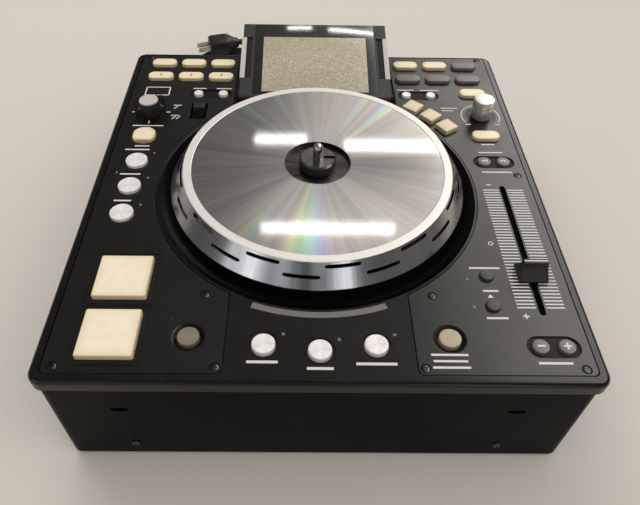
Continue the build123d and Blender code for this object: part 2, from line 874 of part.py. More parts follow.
with BuildPart() as rear_sockets:
    with BuildSketch(Plane.XZ.offset(-(outer_wall_back - 0.6))):
        with Locations(rear_place):
            RectangleRounded(rear_plate[0] - 0.4, rear_plate[1] - 0.4, 1.8)
    extrude(amount=2.0)
    # pairs of phono sockets, one above the other
    for x in sockets:
        for z in (-8.0, 8.0):
            seat = (rear_place[0] + x, outer_wall_back - 0.6, rear_place[1] + z)
            with Locations(Location(seat, (-90, 0, 0))):
                Cylinder(6.4, 1.2, align=standing)
                Cylinder(socket_radius, socket_length, align=standing)
                Cylinder(6.0, 14.0, align=hanging)
    # multi-way data socket
    with BuildSketch(Plane.XZ.offset(-(outer_wall_back - 0.6))):
        with Locations((rear_place[0] + 63.0, rear_place[1])):
            RectangleRounded(12.0, 25.0, 2.0)
    extrude(amount=-5.0)
save(rear_sockets.part, "rear_sockets")

# ---------------------------------------------------------------- display
face_slope = tan(radians(display_tilt))
face_start = deck + display_edge        # height of the sloping face above the tilt axis
display_back = platter_y + display_reach
display_top = face_start + (display_back - tilt_y - 1.0) * face_slope
nose_radius = (face_start - display_bottom) / 2
nose_z = display_bottom + nose_radius
lens_front = 0.6                        # tilt axis to the lens, along the slope
lens_length = (display_back - 2.6 - tilt_y) / cos(radians(display_tilt)) - lens_front
frame_back_slope = 1.0
module = (98.0, 60.0, 7.0)
grip_length = 55.0
grip_start = 21.0                       # tilt axis to the grips, along the slope
grip_width = 9.8
grip_depth = 2.2
grip_bar = 4.8
grip_proud = 1.0

slope_plane = Plane(
    origin=(0, tilt_y, face_start),
    x_dir=(1, 0, 0),
    z_dir=(0, -sin(radians(display_tilt)), cos(radians(display_tilt))),
)

with BuildPart() as display_frame:
    with BuildSketch(Plane.YZ.offset(-display_width / 2)):
        with BuildLine():
            Polyline(
                (tilt_y, face_start),
                (display_back - frame_back_slope, display_top),
                (display_back, display_top - 3.0),
                (display_back, display_bottom + 2.0),
                (display_back - 2.0, display_bottom),
                (tilt_y, display_bottom),
            )
            ThreePointArc((tilt_y, display_bottom), (tilt_y - nose_radius, nose_z), (tilt_y, face_start))
        make_face()
    extrude(amount=display_width)
    fillet(display_frame.edges().filter_by(Axis.X).group_by(Axis.Z)[-1], 0.9)
    # seat of the lens, then the well for the display module
    with BuildSketch(slope_plane):
        with Locations((0, lens_front + lens_length / 2)):
            RectangleRounded(lens_width + 0.4, lens_length + 0.4, 1.2)
    extrude(amount=-lens_thickness, mode=Mode.SUBTRACT)
    with BuildSketch(slope_plane.offset(-lens_thickness)):
        with Locations((0, lens_front + lens_length - module[1] / 2 - 6.0)):
            Rectangle(module[0] + 0.6, module[1] + 0.6)
    extrude(amount=-module[2] - 0.3, mode=Mode.SUBTRACT)
    # finger recesses at both sides
    for side in (-1, 1):
        with BuildSketch(slope_plane):
            with Locations((side * (display_width - grip_width + 2) / 2, grip_start + grip_length / 2)):
                Rectangle(grip_width + 2, grip_length)
        extrude(amount=-grip_depth, mode=Mode.SUBTRACT)
    for side in (-1, 1):
        with Locations(Location((side * (display_width / 2 - 3.0), tilt_y, tilt_z), (0, side * 90, 0))):
            Cylinder(trunnion_radius, 6.1, align=standing)
    # bright bars in the recesses
    for side in (-1, 1):
        with BuildSketch(slope_plane.offset(-grip_depth)):
            with Locations(
                (side * ((display_width - grip_bar) / 2 + grip_proud), grip_start + grip_length / 2)
            ):
                Rectangle(grip_bar, grip_length - 0.6)
        extrude(amount=grip_depth)
save(display_frame.part, "display_frame")

with BuildPart() as display_screen:
    with BuildSketch(slope_plane.offset(-lens_thickness)):
        with Locations((0, lens_front + lens_length / 2)):
            RectangleRounded(lens_width, lens_length, 1.0)
    extrude(amount=lens_thickness)
    with BuildSketch(slope_plane.offset(-lens_thickness)):
        with Locations((0, lens_front + lens_length - module[1] / 2 - 6.0)):
            Rectangle(module[0], module[1])
    extrude(amount=-module[2])
save(display_screen.part, "display_screen")

# ---------------------------------------------------------------- sprung caps
def add_stem(place, travel, foot_gap=0.2):
    """The stem from a cap down to its switch, in the part being built."""
    foot = board_top + switch_height + travel + foot_gap
    with Locations((*on_deck(*place), foot)):
        Cylinder(stem_radius, cap_bottom + 0.5 - foot, align=standing)


def round_cap(name, place, radius, rise, travel, edge, lip=flange):
    """A round cap, its retaining flange and its stem."""
    with BuildPart() as cap:
        with Locations((*on_deck(*place), cap_bottom)):
            Cylinder(radius, deck + rise - cap_bottom, align=standing)
        fillet(cap.edges().group_by(Axis.Z)[-1], edge)
        if lip:
            with Locations((*on_deck(*place), cap_bottom)):
                Cylinder(radius + lip, flange_depth, align=standing)
        add_stem(place, travel)
    save(cap.part, name)


def block_cap(name, place, size, corner, rise, travel, edge, turn=0.0):
    """A pill, square or arc cap, its retaining flange and its stem."""
    with BuildPart() as cap:
        with BuildSketch(Plane.XY.offset(cap_bottom)):
            with Locations(Location((*on_deck(*place), 0), (0, 0, turn))):
                RectangleRounded(size[0], size[1], corner)
        extrude(amount=deck + rise - cap_bottom)
        fillet(cap.edges().group_by(Axis.Z)[-1], edge)
        with BuildSketch(Plane.XY.offset(cap_bottom)):
            with Locations(Location((*on_deck(*place), 0), (0, 0, turn))):
                RectangleRounded(size[0] + 2 * flange, size[1] + 2 * flange, corner + flange)
        extrude(amount=flange_depth)
        add_stem(place, travel)
    save(cap.part, name)


for name, place in pads.items():
    block_cap(name, place, pad_size, pad_round, pad_rise, small_travel, 1.0)
for name, place in big_keys.items():
    block_cap(name, place, (big_size, big_size), 1.5, big_rise, key_travel, 1.0)
for name, turn in arc_keys.items():
    block_cap(name, arc_place(turn), (arc_size, arc_size), 1.0, arc_rise, small_travel, 0.6, turn)
for name, place in small_buttons.items():
    round_cap(name, place, small_radius, small_rise, small_travel, 0.9)
for name, place in effect_buttons.items():
    round_cap(name, place, effect_radius, effect_rise, small_travel, 0.8)
for name, place in front_buttons.items():
    round_cap(name, place, front_radius, front_rise, small_travel, 1.2, lip=0.6)
for name, place in round_buttons.items():
    round_cap(name, place, round_radius, round_rise, small_travel, 0.4)
for name, place in pitch_buttons.items():
    round_cap(name, place, pitch_radius, pitch_rise, small_travel, 0.7)
for name, place in pair_buttons.items():
    round_cap(name, place, pair_radius, pair_rise, small_travel, 0.7)

with BuildPart() as tap_key:
    with BuildSketch(Plane.XY.offset(cap_bottom)):
        with Locations(on_deck(*tap_place)):
            Circle(tap_radius)
            with Locations((0, 1.0)):
                Rectangle(2 * tap_radius - 1.6, 2 * tap_radius, mode=Mode.INTERSECT)
    extrude(amount=deck + tap_rise - cap_bottom)
    chamfer(tap_key.edges().group_by(Axis.Z)[-1], 0.6)
    with Locations((*on_deck(*tap_place), cap_bottom)):
        Cylinder(tap_radius + flange, flange_depth, align=standing)
    add_stem(tap_place, small_travel)
save(tap_key.part, "tap_key")

# ---------------------------------------------------------------- knobs, lever and fader
knob_gap = 0.5
knurls = 24
knob_foot = deck + knob_gap
knob_shaft = shaft_hole - 0.4
shaft_end = board_top + 1.2             # inside the encoder

with BuildPart() as tempo_knob:
    with Locations((*on_deck(*tempo_place), knob_foot)):
        Cone(tempo_radius + 0.4, tempo_radius - 0.6, tempo_rise - knob_gap, align=standing)
        with PolarLocations(tempo_radius + 0.5, knurls):
            Cylinder(0.75, tempo_rise - knob_gap - 1.4, align=standing, mode=Mode.SUBTRACT)
    with Locations((*on_deck(*tempo_place), shaft_end)):
        Cylinder(knob_shaft, knob_foot + 1.0 - shaft_end, align=standing)
save(tempo_knob.part, "tempo_knob")

select_plane = Plane(origin=(*on_deck(*select_place), 0), x_dir=(1, 0, 0), z_dir=(0, -1, 0))
knob_top = deck + select_rise
select_body_radius = select_radius - 0.4
select_groove_radius = select_radius - 1.1
with BuildPart() as select_knob:
    with BuildSketch(select_plane):
        with BuildLine():
            Polyline(
                (0, shaft_end),
                (knob_shaft, shaft_end),
                (knob_shaft, knob_foot),
                (select_body_radius, knob_foot),
                (select_body_radius, knob_top - select_cap - select_groove),
                (select_groove_radius, knob_top - select_cap - select_groove),
                (select_groove_radius, knob_top - select_cap),
                (select_radius, knob_top - select_cap),
                (select_radius, knob_top - select_edge),
                (select_radius - select_edge, knob_top),
                (0, knob_top),
                close=True,
            )
        make_face()
    revolve(axis=Axis(select_plane.origin, (0, 0, 1)))
save(select_knob.part, "select_knob")

lever_rest = lever_travel / 2
with BuildPart() as lever_switch:
    with BuildSketch(Plane.XY.offset(lever_house + 0.3)):
        with Locations(on_deck(lever_place[0], lever_place[1] + lever_rest)):
            Rectangle(*lever_size)
    extrude(amount=deck + lever_rise - lever_house - 0.3, taper=3)
    fillet(lever_switch.edges().group_by(Axis.Z)[-1], lever_edge)
save(lever_switch.part, "lever_switch")

fader_y = platter_y + fader_middle + fader_rest
fader_foot = deck + 1.0
fader_top = deck + fader_rise
half_x, half_y = fader_size[0] / 2, fader_size[1] / 2
with BuildPart() as pitch_fader:
    # saddle section along the travel
    with BuildSketch(Plane.YZ.offset(fader_x - half_x)):
        with BuildLine():
            Polyline(
                (fader_y - half_y, fader_foot + 1.6),
                (fader_y - half_y, fader_foot),
                (fader_y + half_y, fader_foot),
                (fader_y + half_y, fader_foot + 1.6),
            )
            ThreePointArc(
                (fader_y + half_y, fader_foot + 1.6),
                (fader_y + 0.42 * half_y, fader_foot + 0.42 * fader_rise),
                (fader_y + fader_ridge[1] / 2, fader_top),
            )
            Line((fader_y + fader_ridge[1] / 2, fader_top), (fader_y - fader_ridge[1] / 2, fader_top))
            ThreePointArc(
                (fader_y - fader_ridge[1] / 2, fader_top),
                (fader_y - 0.42 * half_y, fader_foot + 0.42 * fader_rise),
                (fader_y - half_y, fader_foot + 1.6),
            )
        make_face()
    extrude(amount=fader_size[0])
    # the ends lean in towards the ridge
    with BuildSketch(Plane.XZ.offset(-(fader_y - half_y - 1))):
        with BuildLine():
            Polyline(
                (fader_x - half_x, fader_foot),
                (fader_x + half_x, fader_foot),
                (fader_x + fader_ridge[0] / 2, fader_top + 0.1),
                (fader_x - fader_ridge[0] / 2, fader_top + 0.1),
                close=True,
            )
        make_face()
    extrude(amount=-(fader_size[1] + 2), mode=Mode.INTERSECT)
    with BuildSketch(Plane.XY.offset(board_top + 1.5)):
        with Locations((fader_x, fader_y)):
            Rectangle(fader_slot_width - 1.2, 8.0)
    extrude(amount=fader_foot + 1.0 - board_top - 1.5)
save(pitch_fader.part, "pitch_fader")

with BuildPart() as power_switch:
    with BuildSketch(Plane.XZ.offset(-(outer_wall_back - 10.0))):
        with Locations(switch_place):
            RectangleRounded(switch_window[0] - 0.8, switch_window[1] - 0.8, 0.8)
    extrude(amount=-15.0)
    fillet(power_switch.edges().group_by(Axis.Y)[-1], 0.6)
save(power_switch.part, "power_switch")

# ---------------------------------------------------------------- power lead
relief_length = 28.0
relief_tip_radius = 4.6
coil_centre = (-104.0, 314.0)
coil_lift = 0.5
coil_width = 6 * cord_radius
coil_height = 4 * cord_radius
coil_corner = 3.4
tie_width = 8.0
tie_wrap = 0.5
plug_place = (-95.0, 353.7, 25.5)       # where the lead enters the plug
plug_axis = (-0.954, -0.3, 0.0)
plug_body = (26.0, 22.0)
plug_corner = 6.0
plug_mouth = 11.0          # size of the neck where the lead goes in
plug_edge = 1.2
plug_length = 38.0
plug_neck = 14.0
blade = (6.3, 1.5)
blade_length = 16.0
blade_pitch = 12.7

relief_end = outer_wall_back + relief_length
with BuildPart() as strain_relief:
    with Locations(Location((relief_place[0], outer_wall_back, relief_place[1]), (-90, 0, 0))):
        Cylinder(relief_radius, wall + 1.5, align=hanging)
        Cylinder(relief_radius + 1.6, 2.0, align=standing)
        Cone(relief_radius, relief_tip_radius, relief_length, align=standing)
save(strain_relief.part, "strain_relief")


def lead_line(points):
    """Straight runs joined by tangent arcs, the radii taken from the runs."""
    places = [Vector(*point) for point in points]
    radii = []
    for before, corner, after in zip(places, places[1:], places[2:]):
        run = min((corner - before).length, (after - corner).length)
        turn = (corner - before).get_angle(after - corner)
        radii.append(0.45 * run / tan(radians(turn / 2)))
    return FilletPolyline(*points, radius=radii), radii


# from the case down to the floor and into the coil's outer turn
lead_in = [
    (relief_place[0], relief_end, relief_place[1]),
    (relief_place[0] + 0.4, relief_end + 18.0, 13.6),
    (relief_place[0] + 0.2, relief_end + 36.5, 5.3),
    (relief_place[0] - 0.1, relief_end + 59.8, 4.0),
    (relief_place[0] + 0.1, relief_end + 83.0, 4.0),
]
# out of the coil's upper layer and round to the plug
lead_out = [
    (-92.6, 269.2, 11.0),
    (-66.4, 275.7, 12.6),
    (-41.4, 285.8, 14.5),
    (-27.5, 307.2, 16.5),
    (-28.4, 332.7, 19.0),
    (-43.7, 353.1, 22.0),
    (-69.5, 361.2, 24.6),
    plug_place,
]
with BuildPart() as power_cord:
    for points in (lead_in, lead_out):
        with BuildLine():
            path, radii = lead_line(points)
        print("lead radii", [round(radius, 1) for radius in radii], "length", round(path.length, 1))
        with BuildSketch(Plane(origin=points[0], z_dir=path % 0)):
            Circle(cord_radius)
        sweep()
save(power_cord.part, "power_cord")

with BuildPart() as cord_coil:
    with BuildSketch(Plane.XZ.offset(-coil_centre[1])):
        with Locations((coil_centre[0] + coil_turn_radius, coil_lift + coil_height / 2)):
            RectangleRounded(coil_width, coil_height, coil_corner)
    revolve(axis=Axis((*coil_centre, 0), (0, 0, 1)))
    # tie round the turns
    with BuildSketch(Plane.YZ.offset(coil_centre[0] - tie_width / 2)):
        with Locations((coil_centre[1] - coil_turn_radius, coil_lift + coil_height / 2)):
            RectangleRounded(coil_width + 2 * tie_wrap, coil_height + 2 * tie_wrap, coil_corner + 0.2)
    extrude(amount=tie_width)
save(cord_coil.part, "cord_coil")

plug_end = Plane(origin=plug_place, x_dir=(0.3, -0.954, 0), z_dir=plug_axis)
with BuildPart() as power_plug:
    with BuildSketch(plug_end):
        RectangleRounded(plug_mouth, plug_mouth, plug_mouth / 2 - 0.5)
    with BuildSketch(plug_end.offset(plug_neck)):
        RectangleRounded(*plug_body, plug_corner)
    loft()
    with BuildSketch(plug_end.offset(plug_neck)):
        RectangleRounded(*plug_body, plug_corner)
    extrude(amount=plug_length - plug_neck)
    fillet(power_plug.faces().sort_by(Axis(plug_place, plug_axis))[-1].edges(), plug_edge)
    with BuildSketch(plug_end.offset(plug_length - 1)):
        for side in (-1, 1):
            with Locations((side * blade_pitch / 2, 0)):
                Rectangle(blade[1], blade[0])
    extrude(amount=blade_length + 1)
save(power_plug.part, "power_plug")
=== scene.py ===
import math
import random

import bmesh
import bpy
from mathutils import Matrix, Vector


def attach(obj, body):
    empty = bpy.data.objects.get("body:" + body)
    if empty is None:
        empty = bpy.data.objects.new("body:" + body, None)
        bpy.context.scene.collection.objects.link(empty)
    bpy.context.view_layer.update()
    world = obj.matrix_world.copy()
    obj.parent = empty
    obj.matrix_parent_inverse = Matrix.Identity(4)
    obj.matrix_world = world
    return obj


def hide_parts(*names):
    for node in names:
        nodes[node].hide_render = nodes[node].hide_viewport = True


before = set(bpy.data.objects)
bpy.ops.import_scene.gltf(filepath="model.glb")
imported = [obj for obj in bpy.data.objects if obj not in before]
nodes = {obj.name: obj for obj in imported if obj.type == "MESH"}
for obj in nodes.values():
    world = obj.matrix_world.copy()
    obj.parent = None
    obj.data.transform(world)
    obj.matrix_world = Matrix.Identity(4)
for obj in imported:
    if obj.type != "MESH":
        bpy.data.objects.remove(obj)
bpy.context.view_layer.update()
scene = bpy.context.scene
rng = random.Random(7)


# main places in metres; places on the deck count their y from the platter's axis
axisY = -0.0173
deckZ = 0.105
column = 0.1485
columnStep = 0.029
print("frame loaded", len(nodes))


# a value or another node's output goes into a socket
def feed(tree, socket, value):
    if isinstance(value, bpy.types.NodeSocket):
        tree.links.new(value, socket)
    elif socket.type == "RGBA" and len(value) == 3:
        socket.default_value = (*value, 1)
    else:
        socket.default_value = value


def add(tree, kind, feeds=None, **settings):
    n = tree.nodes.new(kind)
    for key, value in settings.items():
        setattr(n, key, value)
    for key, value in (feeds or {}).items():
        feed(tree, n.inputs[key], value)
    return n


def newTree(name, kind, inputs, outputs):
    tree = bpy.data.node_groups.new(name, kind)
    for title, socket, value in inputs:
        s = tree.interface.new_socket(title, in_out="INPUT", socket_type="NodeSocket" + socket)
        if value is not None:
            s.default_value = value
    for title, socket in outputs:
        tree.interface.new_socket(title, in_out="OUTPUT", socket_type="NodeSocket" + socket)
    return tree, add(tree, "NodeGroupInput").outputs, add(tree, "NodeGroupOutput").inputs


def calc(tree, op, a, b=None, clamp=False):
    feeds = {0: a} if b is None else {0: a, 1: b}
    return add(tree, "ShaderNodeMath", feeds, operation=op, use_clamp=clamp).outputs[0]


def plus(tree, a, b, clamp=False):
    return calc(tree, "ADD", a, b, clamp)


def times(tree, first, *others):
    for other in others:
        first = calc(tree, "MULTIPLY", first, other)
    return first


def vectorCalc(tree, op, feeds):
    return add(tree, "ShaderNodeVectorMath", feeds, operation=op).outputs[0]


def combine(tree, feeds):
    return add(tree, "ShaderNodeCombineXYZ", feeds).outputs[0]


def mapRange(tree, v, lo, hi, outLo=0.0, outHi=1.0):
    return add(tree, "ShaderNodeMapRange", {0: v, 1: lo, 2: hi, 3: outLo, 4: outHi}).outputs[0]


def mixColor(tree, factor, a, b):
    return add(tree, "ShaderNodeMix", {0: factor, 6: a, 7: b}, data_type="RGBA").outputs[2]


def noise(tree, vector, scale, detail=3.0, rough=0.55):
    feeds = {"Vector": vector, "Scale": scale, "Detail": detail, "Roughness": rough}
    return add(tree, "ShaderNodeTexNoise", feeds).outputs[0]


def polar(tree, place):
    x, y, z = add(tree, "ShaderNodeSeparateXYZ", {0: place}).outputs
    radius = calc(tree, "SQRT", plus(tree, times(tree, x, x), times(tree, y, y)))
    return x, y, radius, calc(tree, "ARCTAN2", y, x)


surfaceOutputs = (("Color", "Color"), ("Roughness", "Float"), ("Height", "Float"))


# shared wear: dust specks, smudges and fine scratches on any plastic
def wearGroup():
    inputs = (
        ("Vector", "Vector", None),
        ("Color", "Color", (0.02, 0.02, 0.02, 1)),
        ("Dust Color", "Color", (0.35, 0.32, 0.28, 1)),
        ("Dust", "Float", 0.3),
        ("Smudge", "Float", 0.1),
        ("Scratch", "Float", 0.2),
        ("Roughness", "Float", 0.3),
        ("Grain", "Float", 0.2),
    )
    tree, given, out = newTree("surfaceWear", "ShaderNodeTree", inputs, surfaceOutputs)
    place = given["Vector"]
    cells = add(tree, "ShaderNodeTexVoronoi", {"Vector": place, "Scale": 260.0})
    speck = mapRange(tree, cells.outputs["Distance"], 0.16, 0.05)
    patch = mapRange(tree, noise(tree, place, 23.0, 4.0), 0.5, 0.72)
    film = mapRange(tree, noise(tree, place, 60.0, 5.0, 0.7), 0.35, 0.75)
    dust = times(tree, speck, patch, given["Dust"])
    dust = plus(tree, dust, times(tree, film, given["Dust"], 0.05), True)
    feed(tree, out["Color"], mixColor(tree, dust, given["Color"], given["Dust Color"]))
    smudge = mapRange(tree, noise(tree, place, 14.0, 4.0, 0.6), 0.4, 0.7)
    rough = plus(tree, given["Roughness"], times(tree, smudge, given["Smudge"]))
    feed(tree, out["Roughness"], plus(tree, rough, times(tree, dust, 0.5), True))
    stretch = {"Vector": place, "Rotation": (0, 0, 0.6), "Scale": (18, 700, 200)}
    strokes = noise(tree, add(tree, "ShaderNodeMapping", stretch).outputs[0], 1.0, 2.0)
    scratch = times(tree, mapRange(tree, strokes, 0.68, 0.78), given["Scratch"], 0.4)
    grain = times(tree, noise(tree, place, 1400.0, 2.0), given["Grain"])
    feed(tree, out["Height"], calc(tree, "SUBTRACT", grain, scratch))
    return tree


# turned metal: fine rings about the middle, and fans of painted sheen and shade round it
def turnedGroup():
    inputs = (
        ("Local", "Vector", None),
        ("Color", "Color", (0.6, 0.6, 0.6, 1)),
        ("Dark", "Color", (0.2, 0.2, 0.2, 1)),
        ("Sheen Fans", "Float", 0.5),
        ("Ring Scale", "Float", 900.0),
        ("Roughness", "Float", 0.25),
    )
    tree, given, out = newTree("turnedMetal", "ShaderNodeTree", inputs, surfaceOutputs)
    x, y, radius, angle = polar(tree, given["Local"])
    sheen = 0.0
    for turns, phase, share in ((2, 0.9, 0.5), (5, 2.1, 0.3), (9, 0.4, 0.2)):
        wave = calc(tree, "SINE", plus(tree, times(tree, angle, turns), phase))
        sheen = plus(tree, sheen, times(tree, plus(tree, wave, 1.0), share / 2))
    ray = vectorCalc(tree, "NORMALIZE", {0: combine(tree, {0: x, 1: y})})
    sheenRays = mapRange(tree, noise(tree, ray, 7.0, 6.0, 0.75), 0.36, 0.64)
    sheen = plus(tree, times(tree, mapRange(tree, sheen, 0.25, 0.75), 0.45), times(tree, sheenRays, 0.55))
    sheen = times(tree, sheen, given["Sheen Fans"])
    wide = vectorCalc(tree, "SCALE", {0: combine(tree, {0: radius}), "Scale": given["Ring Scale"]})
    rings = noise(tree, wide, 1.0, 3.0, 0.6)
    # painted sheen: along the fans the colour runs towards the darker colour, standing in for lamp shine on
    # the turned rings
    feed(tree, out["Color"], mixColor(tree, sheen, given["Color"], given["Dark"]))
    rough = plus(tree, given["Roughness"], times(tree, rings, 0.08))
    feed(tree, out["Roughness"], plus(tree, rough, times(tree, sheen, 0.05), True))
    feed(tree, out["Height"], rings)
    return tree


wear = wearGroup()
turned = turnedGroup()


def startMaterial(name):
    m = bpy.data.materials.new(name)
    m.use_nodes = True
    tree = m.node_tree
    bsdf = next(n for n in tree.nodes if n.type == "BSDF_PRINCIPLED")
    return m, tree, bsdf, add(tree, "ShaderNodeTexCoord").outputs["Object"]


def setShader(tree, bsdf, values):
    for key, value in values.items():
        feed(tree, bsdf.inputs[key], value)


# a group's colour, roughness and bump reach the shader
def useGroup(tree, bsdf, group, values, strength, distance):
    made = add(tree, "ShaderNodeGroup", values, node_tree=group).outputs
    bump = {"Strength": strength, "Distance": distance, "Height": made["Height"]}
    normal = add(tree, "ShaderNodeBump", bump).outputs[0]
    setShader(tree, bsdf, {"Base Color": made["Color"], "Roughness": made["Roughness"], "Normal": normal})
    return made


def plastic(
    name, color, rough, dust, smudge, scratch, grain, bump=0.25, coat=0.0, specular=0.5, shadedBelow=None
):
    m, tree, bsdf, place = startMaterial(name)
    values = {"Vector": place, "Color": color, "Roughness": rough}
    values.update({"Dust": dust, "Smudge": smudge, "Scratch": scratch, "Grain": grain})
    made = useGroup(tree, bsdf, wear, values, bump, 0.00005)
    setShader(tree, bsdf, {"Coat Weight": coat, "Coat Roughness": 0.12, "Specular IOR Level": specular})
    if shadedBelow:
        # the floors of the recesses get painted shade, darker, and are left rougher
        z = add(tree, "ShaderNodeSeparateXYZ", {0: place}).outputs[2]
        sunkShade = mapRange(tree, z, shadedBelow, shadedBelow - 0.0003)
        shadedTone = mixColor(tree, sunkShade, made["Color"], (0.0015, 0.0015, 0.0014))
        roughness = plus(tree, made["Roughness"], times(tree, sunkShade, 0.4), True)
        setShader(tree, bsdf, {"Base Color": shadedTone, "Roughness": roughness})
    return m


# colour, roughness, dust, smudge, scratch, grain
mats = {
    "gloss": plastic("caseGloss", (0.0045, 0.0043, 0.004), 0.2, 0.2, 0.1, 0.3, 0.12, specular=0.36),
    "panel": plastic(
        "panelBlack", (0.006, 0.0057, 0.0053), 0.27, 0.22, 0.1, 0.25, 0.3, shadedBelow=deckZ - 0.0003,
    ),
    "satin": plastic("caseSatin", (0.0022, 0.002, 0.0017), 0.3, 0.05, 0.12, 0.3, 0.5, 0.4, specular=0.05),
    "frame": plastic("frameGrey", (0.03, 0.03, 0.031), 0.42, 0.2, 0.1, 0.2, 0.5, 0.4),
    "greyCap": plastic("capGrey", (0.115, 0.105, 0.1), 0.32, 0.12, 0.1, 0.2, 0.15),
    "darkCap": plastic("capDark", (0.035, 0.034, 0.034), 0.38, 0.12, 0.1, 0.2, 0.3),
    "knob": plastic("knobBlack", (0.02, 0.0195, 0.019), 0.45, 0.15, 0.1, 0.2, 0.5, 0.4),
    "knobTop": plastic("knobTopGrey", (0.5, 0.46, 0.42), 0.35, 0.1, 0.08, 0.2, 0.2),
    "rubber": plastic("feetRubber", (0.016, 0.016, 0.016), 0.75, 0.4, 0.1, 0.1, 1.0, 0.6),
    "cord": plastic("cordSheath", (0.014, 0.014, 0.014), 0.42, 0.3, 0.1, 0.2, 0.5, 0.4),
    "lightBar": plastic("lightBarGrey", (0.15, 0.145, 0.14), 0.4, 0.1, 0.1, 0.2, 0.3),
    "board": plastic("boardGreen", (0.004, 0.012, 0.007), 0.45, 0.2, 0.1, 0.1, 0.4),
    "socketPlate": plastic("socketPlate", (0.03, 0.03, 0.03), 0.4, 0.2, 0.1, 0.2, 0.4),
    # near black painted shade for the platter's slots and underside, the hub's slit and the sockets' open
    # ends, and black print on the pad numbers
    "blackShadeAndPrint": plastic("blackShadeAndPrint", (0.004, 0.004, 0.004), 0.6, 0.1, 0.1, 0.1, 0.3),
    "ink": plastic("inkWhite", (0.62, 0.6, 0.57), 0.5, 0.08, 0.1, 0.1, 0.3),
    "grip": plastic("gripSilver", (0.47, 0.45, 0.43), 0.35, 0.1, 0.08, 0.2, 0.3),
    "lens": plastic("lensBlack", (0.006, 0.006, 0.006), 0.06, 0.25, 0.05, 0.3, 0.1, 0.1, 0.6),
    "redCollar": plastic("collarRed", (0.32, 0.02, 0.015), 0.35, 0.1, 0.1, 0.1, 0.2),
}


def fromAxis(tree, place):
    return vectorCalc(tree, "SUBTRACT", {0: place, 1: (0, axisY, 0)})


# local metals turn about the middle kept in their own attribute, the others about the platter's axis
def metal(name, color, dark, sheenFans, rings, rough, aniso=0.0, local=False, bump=0.1, metallic=1.0, coat=0.0):
    m, tree, bsdf, place = startMaterial(name)
    if local:
        middle = add(tree, "ShaderNodeAttribute", attribute_name="local").outputs["Vector"]
    else:
        middle = fromAxis(tree, place)
    values = {"Local": middle, "Color": color, "Dark": dark, "Sheen Fans": sheenFans, "Ring Scale": rings}
    useGroup(tree, bsdf, turned, {**values, "Roughness": rough}, bump, 0.00002)
    setShader(tree, bsdf, {"Metallic": metallic, "Coat Weight": coat, "Coat Roughness": 0.06})
    if aniso:
        # the shine is drawn out across the turned rings
        along = vectorCalc(tree, "CROSS_PRODUCT", {0: (0, 0, 1), 1: middle})
        turn = {"vector_type": "VECTOR", "convert_from": "OBJECT", "convert_to": "WORLD"}
        tangent = add(tree, "ShaderNodeVectorTransform", {0: along}, **turn).outputs[0]
        setShader(tree, bsdf, {"Anisotropic": aniso, "Tangent": tangent})
    return m


# colour, colour of the painted shade in the fans, strength of the painted sheen fans, scale of the rings,
# roughness
mats.update({
    "platterFace": metal(
        "platterFace", (0.62, 0.6, 0.585), (0.26, 0.245, 0.235), 0.75, 2600, 0.26, 0.85, coat=1.0, bump=0.05
    ),
    "platterRing": metal(
        "platterRing", (0.86, 0.83, 0.79), (0.7, 0.67, 0.63), 0.35, 900, 0.34, 0.3, metallic=0.35
    ),
    "skirt": metal("platterSkirt", (0.62, 0.61, 0.61), (0.24, 0.24, 0.25), 0.7, 1500, 0.12, 0.5),
    "hubTop": metal("hubTop", (0.26, 0.25, 0.24), (0.1, 0.095, 0.09), 0.8, 2000, 0.22),
    # the recess round the hub is painted darker, with fans running to near black: a painted shadow on the
    # recess floor
    "shadedHubWell": metal("shadedHubWell", (0.2, 0.19, 0.18), (0.03, 0.03, 0.03), 1.0, 500, 0.25),
    "spindle": metal("spindleSteel", (0.6, 0.58, 0.56), (0.42, 0.4, 0.38), 0.4, 2000, 0.12),
    "motor": metal("motorMetal", (0.3, 0.3, 0.31), (0.2, 0.2, 0.21), 0.4, 600, 0.4),
    "disc": metal(
        "discSilver", (0.98, 0.96, 0.93), (0.6, 0.57, 0.54), 0.8, 2500, 0.34, 0.3, True, metallic=0.25
    ),
    "selectMetal": metal(
        "selectMetal", (0.9, 0.87, 0.83), (0.3, 0.28, 0.27), 0.85, 1600, 0.3, 0.4, True, metallic=0.75
    ),
    "screw": metal("screwBlack", (0.12, 0.12, 0.12), (0.06, 0.06, 0.06), 0.4, 900, 0.35, 0.0, True),
    "socket": metal("socketPlated", (0.55, 0.54, 0.52), (0.35, 0.34, 0.33), 0.3, 900, 0.25),
    "blade": metal("plugBlade", (0.8, 0.74, 0.64), (0.5, 0.45, 0.38), 0.5, 900, 0.3, metallic=0.4),
})

# direction of each painted rainbow ray, its half width in degrees and its strength
rainbowReflectionRays = ((-96, 13, 0.55), (-122, 5, 0.25), (131, 4, 0.4), (51, 4, 0.4), (64, 3, 0.25), (112, 3, 0.25))


# painted reflection: faint rainbow colours painted along a few rays of the top, standing in for the light
# its fine grooves split
def grooveColors(m):
    tree = m.node_tree
    bsdf = next(n for n in tree.nodes if n.type == "BSDF_PRINCIPLED")
    base = bsdf.inputs["Base Color"].links[0].from_socket
    place = next(n for n in tree.nodes if n.type == "TEX_COORD").outputs["Object"]
    x, y, radius, angle = polar(tree, fromAxis(tree, place))
    outer = mapRange(tree, radius, 0.028, 0.09, 0.35, 1.0)
    for middle, half, strength in rainbowReflectionRays:
        off = calc(tree, "SUBTRACT", angle, math.radians(middle))
        off = calc(tree, "DIVIDE", off, math.radians(half))
        inside = mapRange(tree, calc(tree, "ABSOLUTE", off), 1.0, 0.55)
        rainbow = {0: mapRange(tree, off, -1.0, 1.0, 0.02, 0.82), 1: 0.5, 2: 1.0}
        hue = add(tree, "ShaderNodeCombineColor", rainbow, mode="HSV").outputs[0]
        base = mixColor(tree, times(tree, inside, outer, strength), base, hue)
    feed(tree, bsdf.inputs["Base Color"], base)


grooveColors(mats["platterFace"])
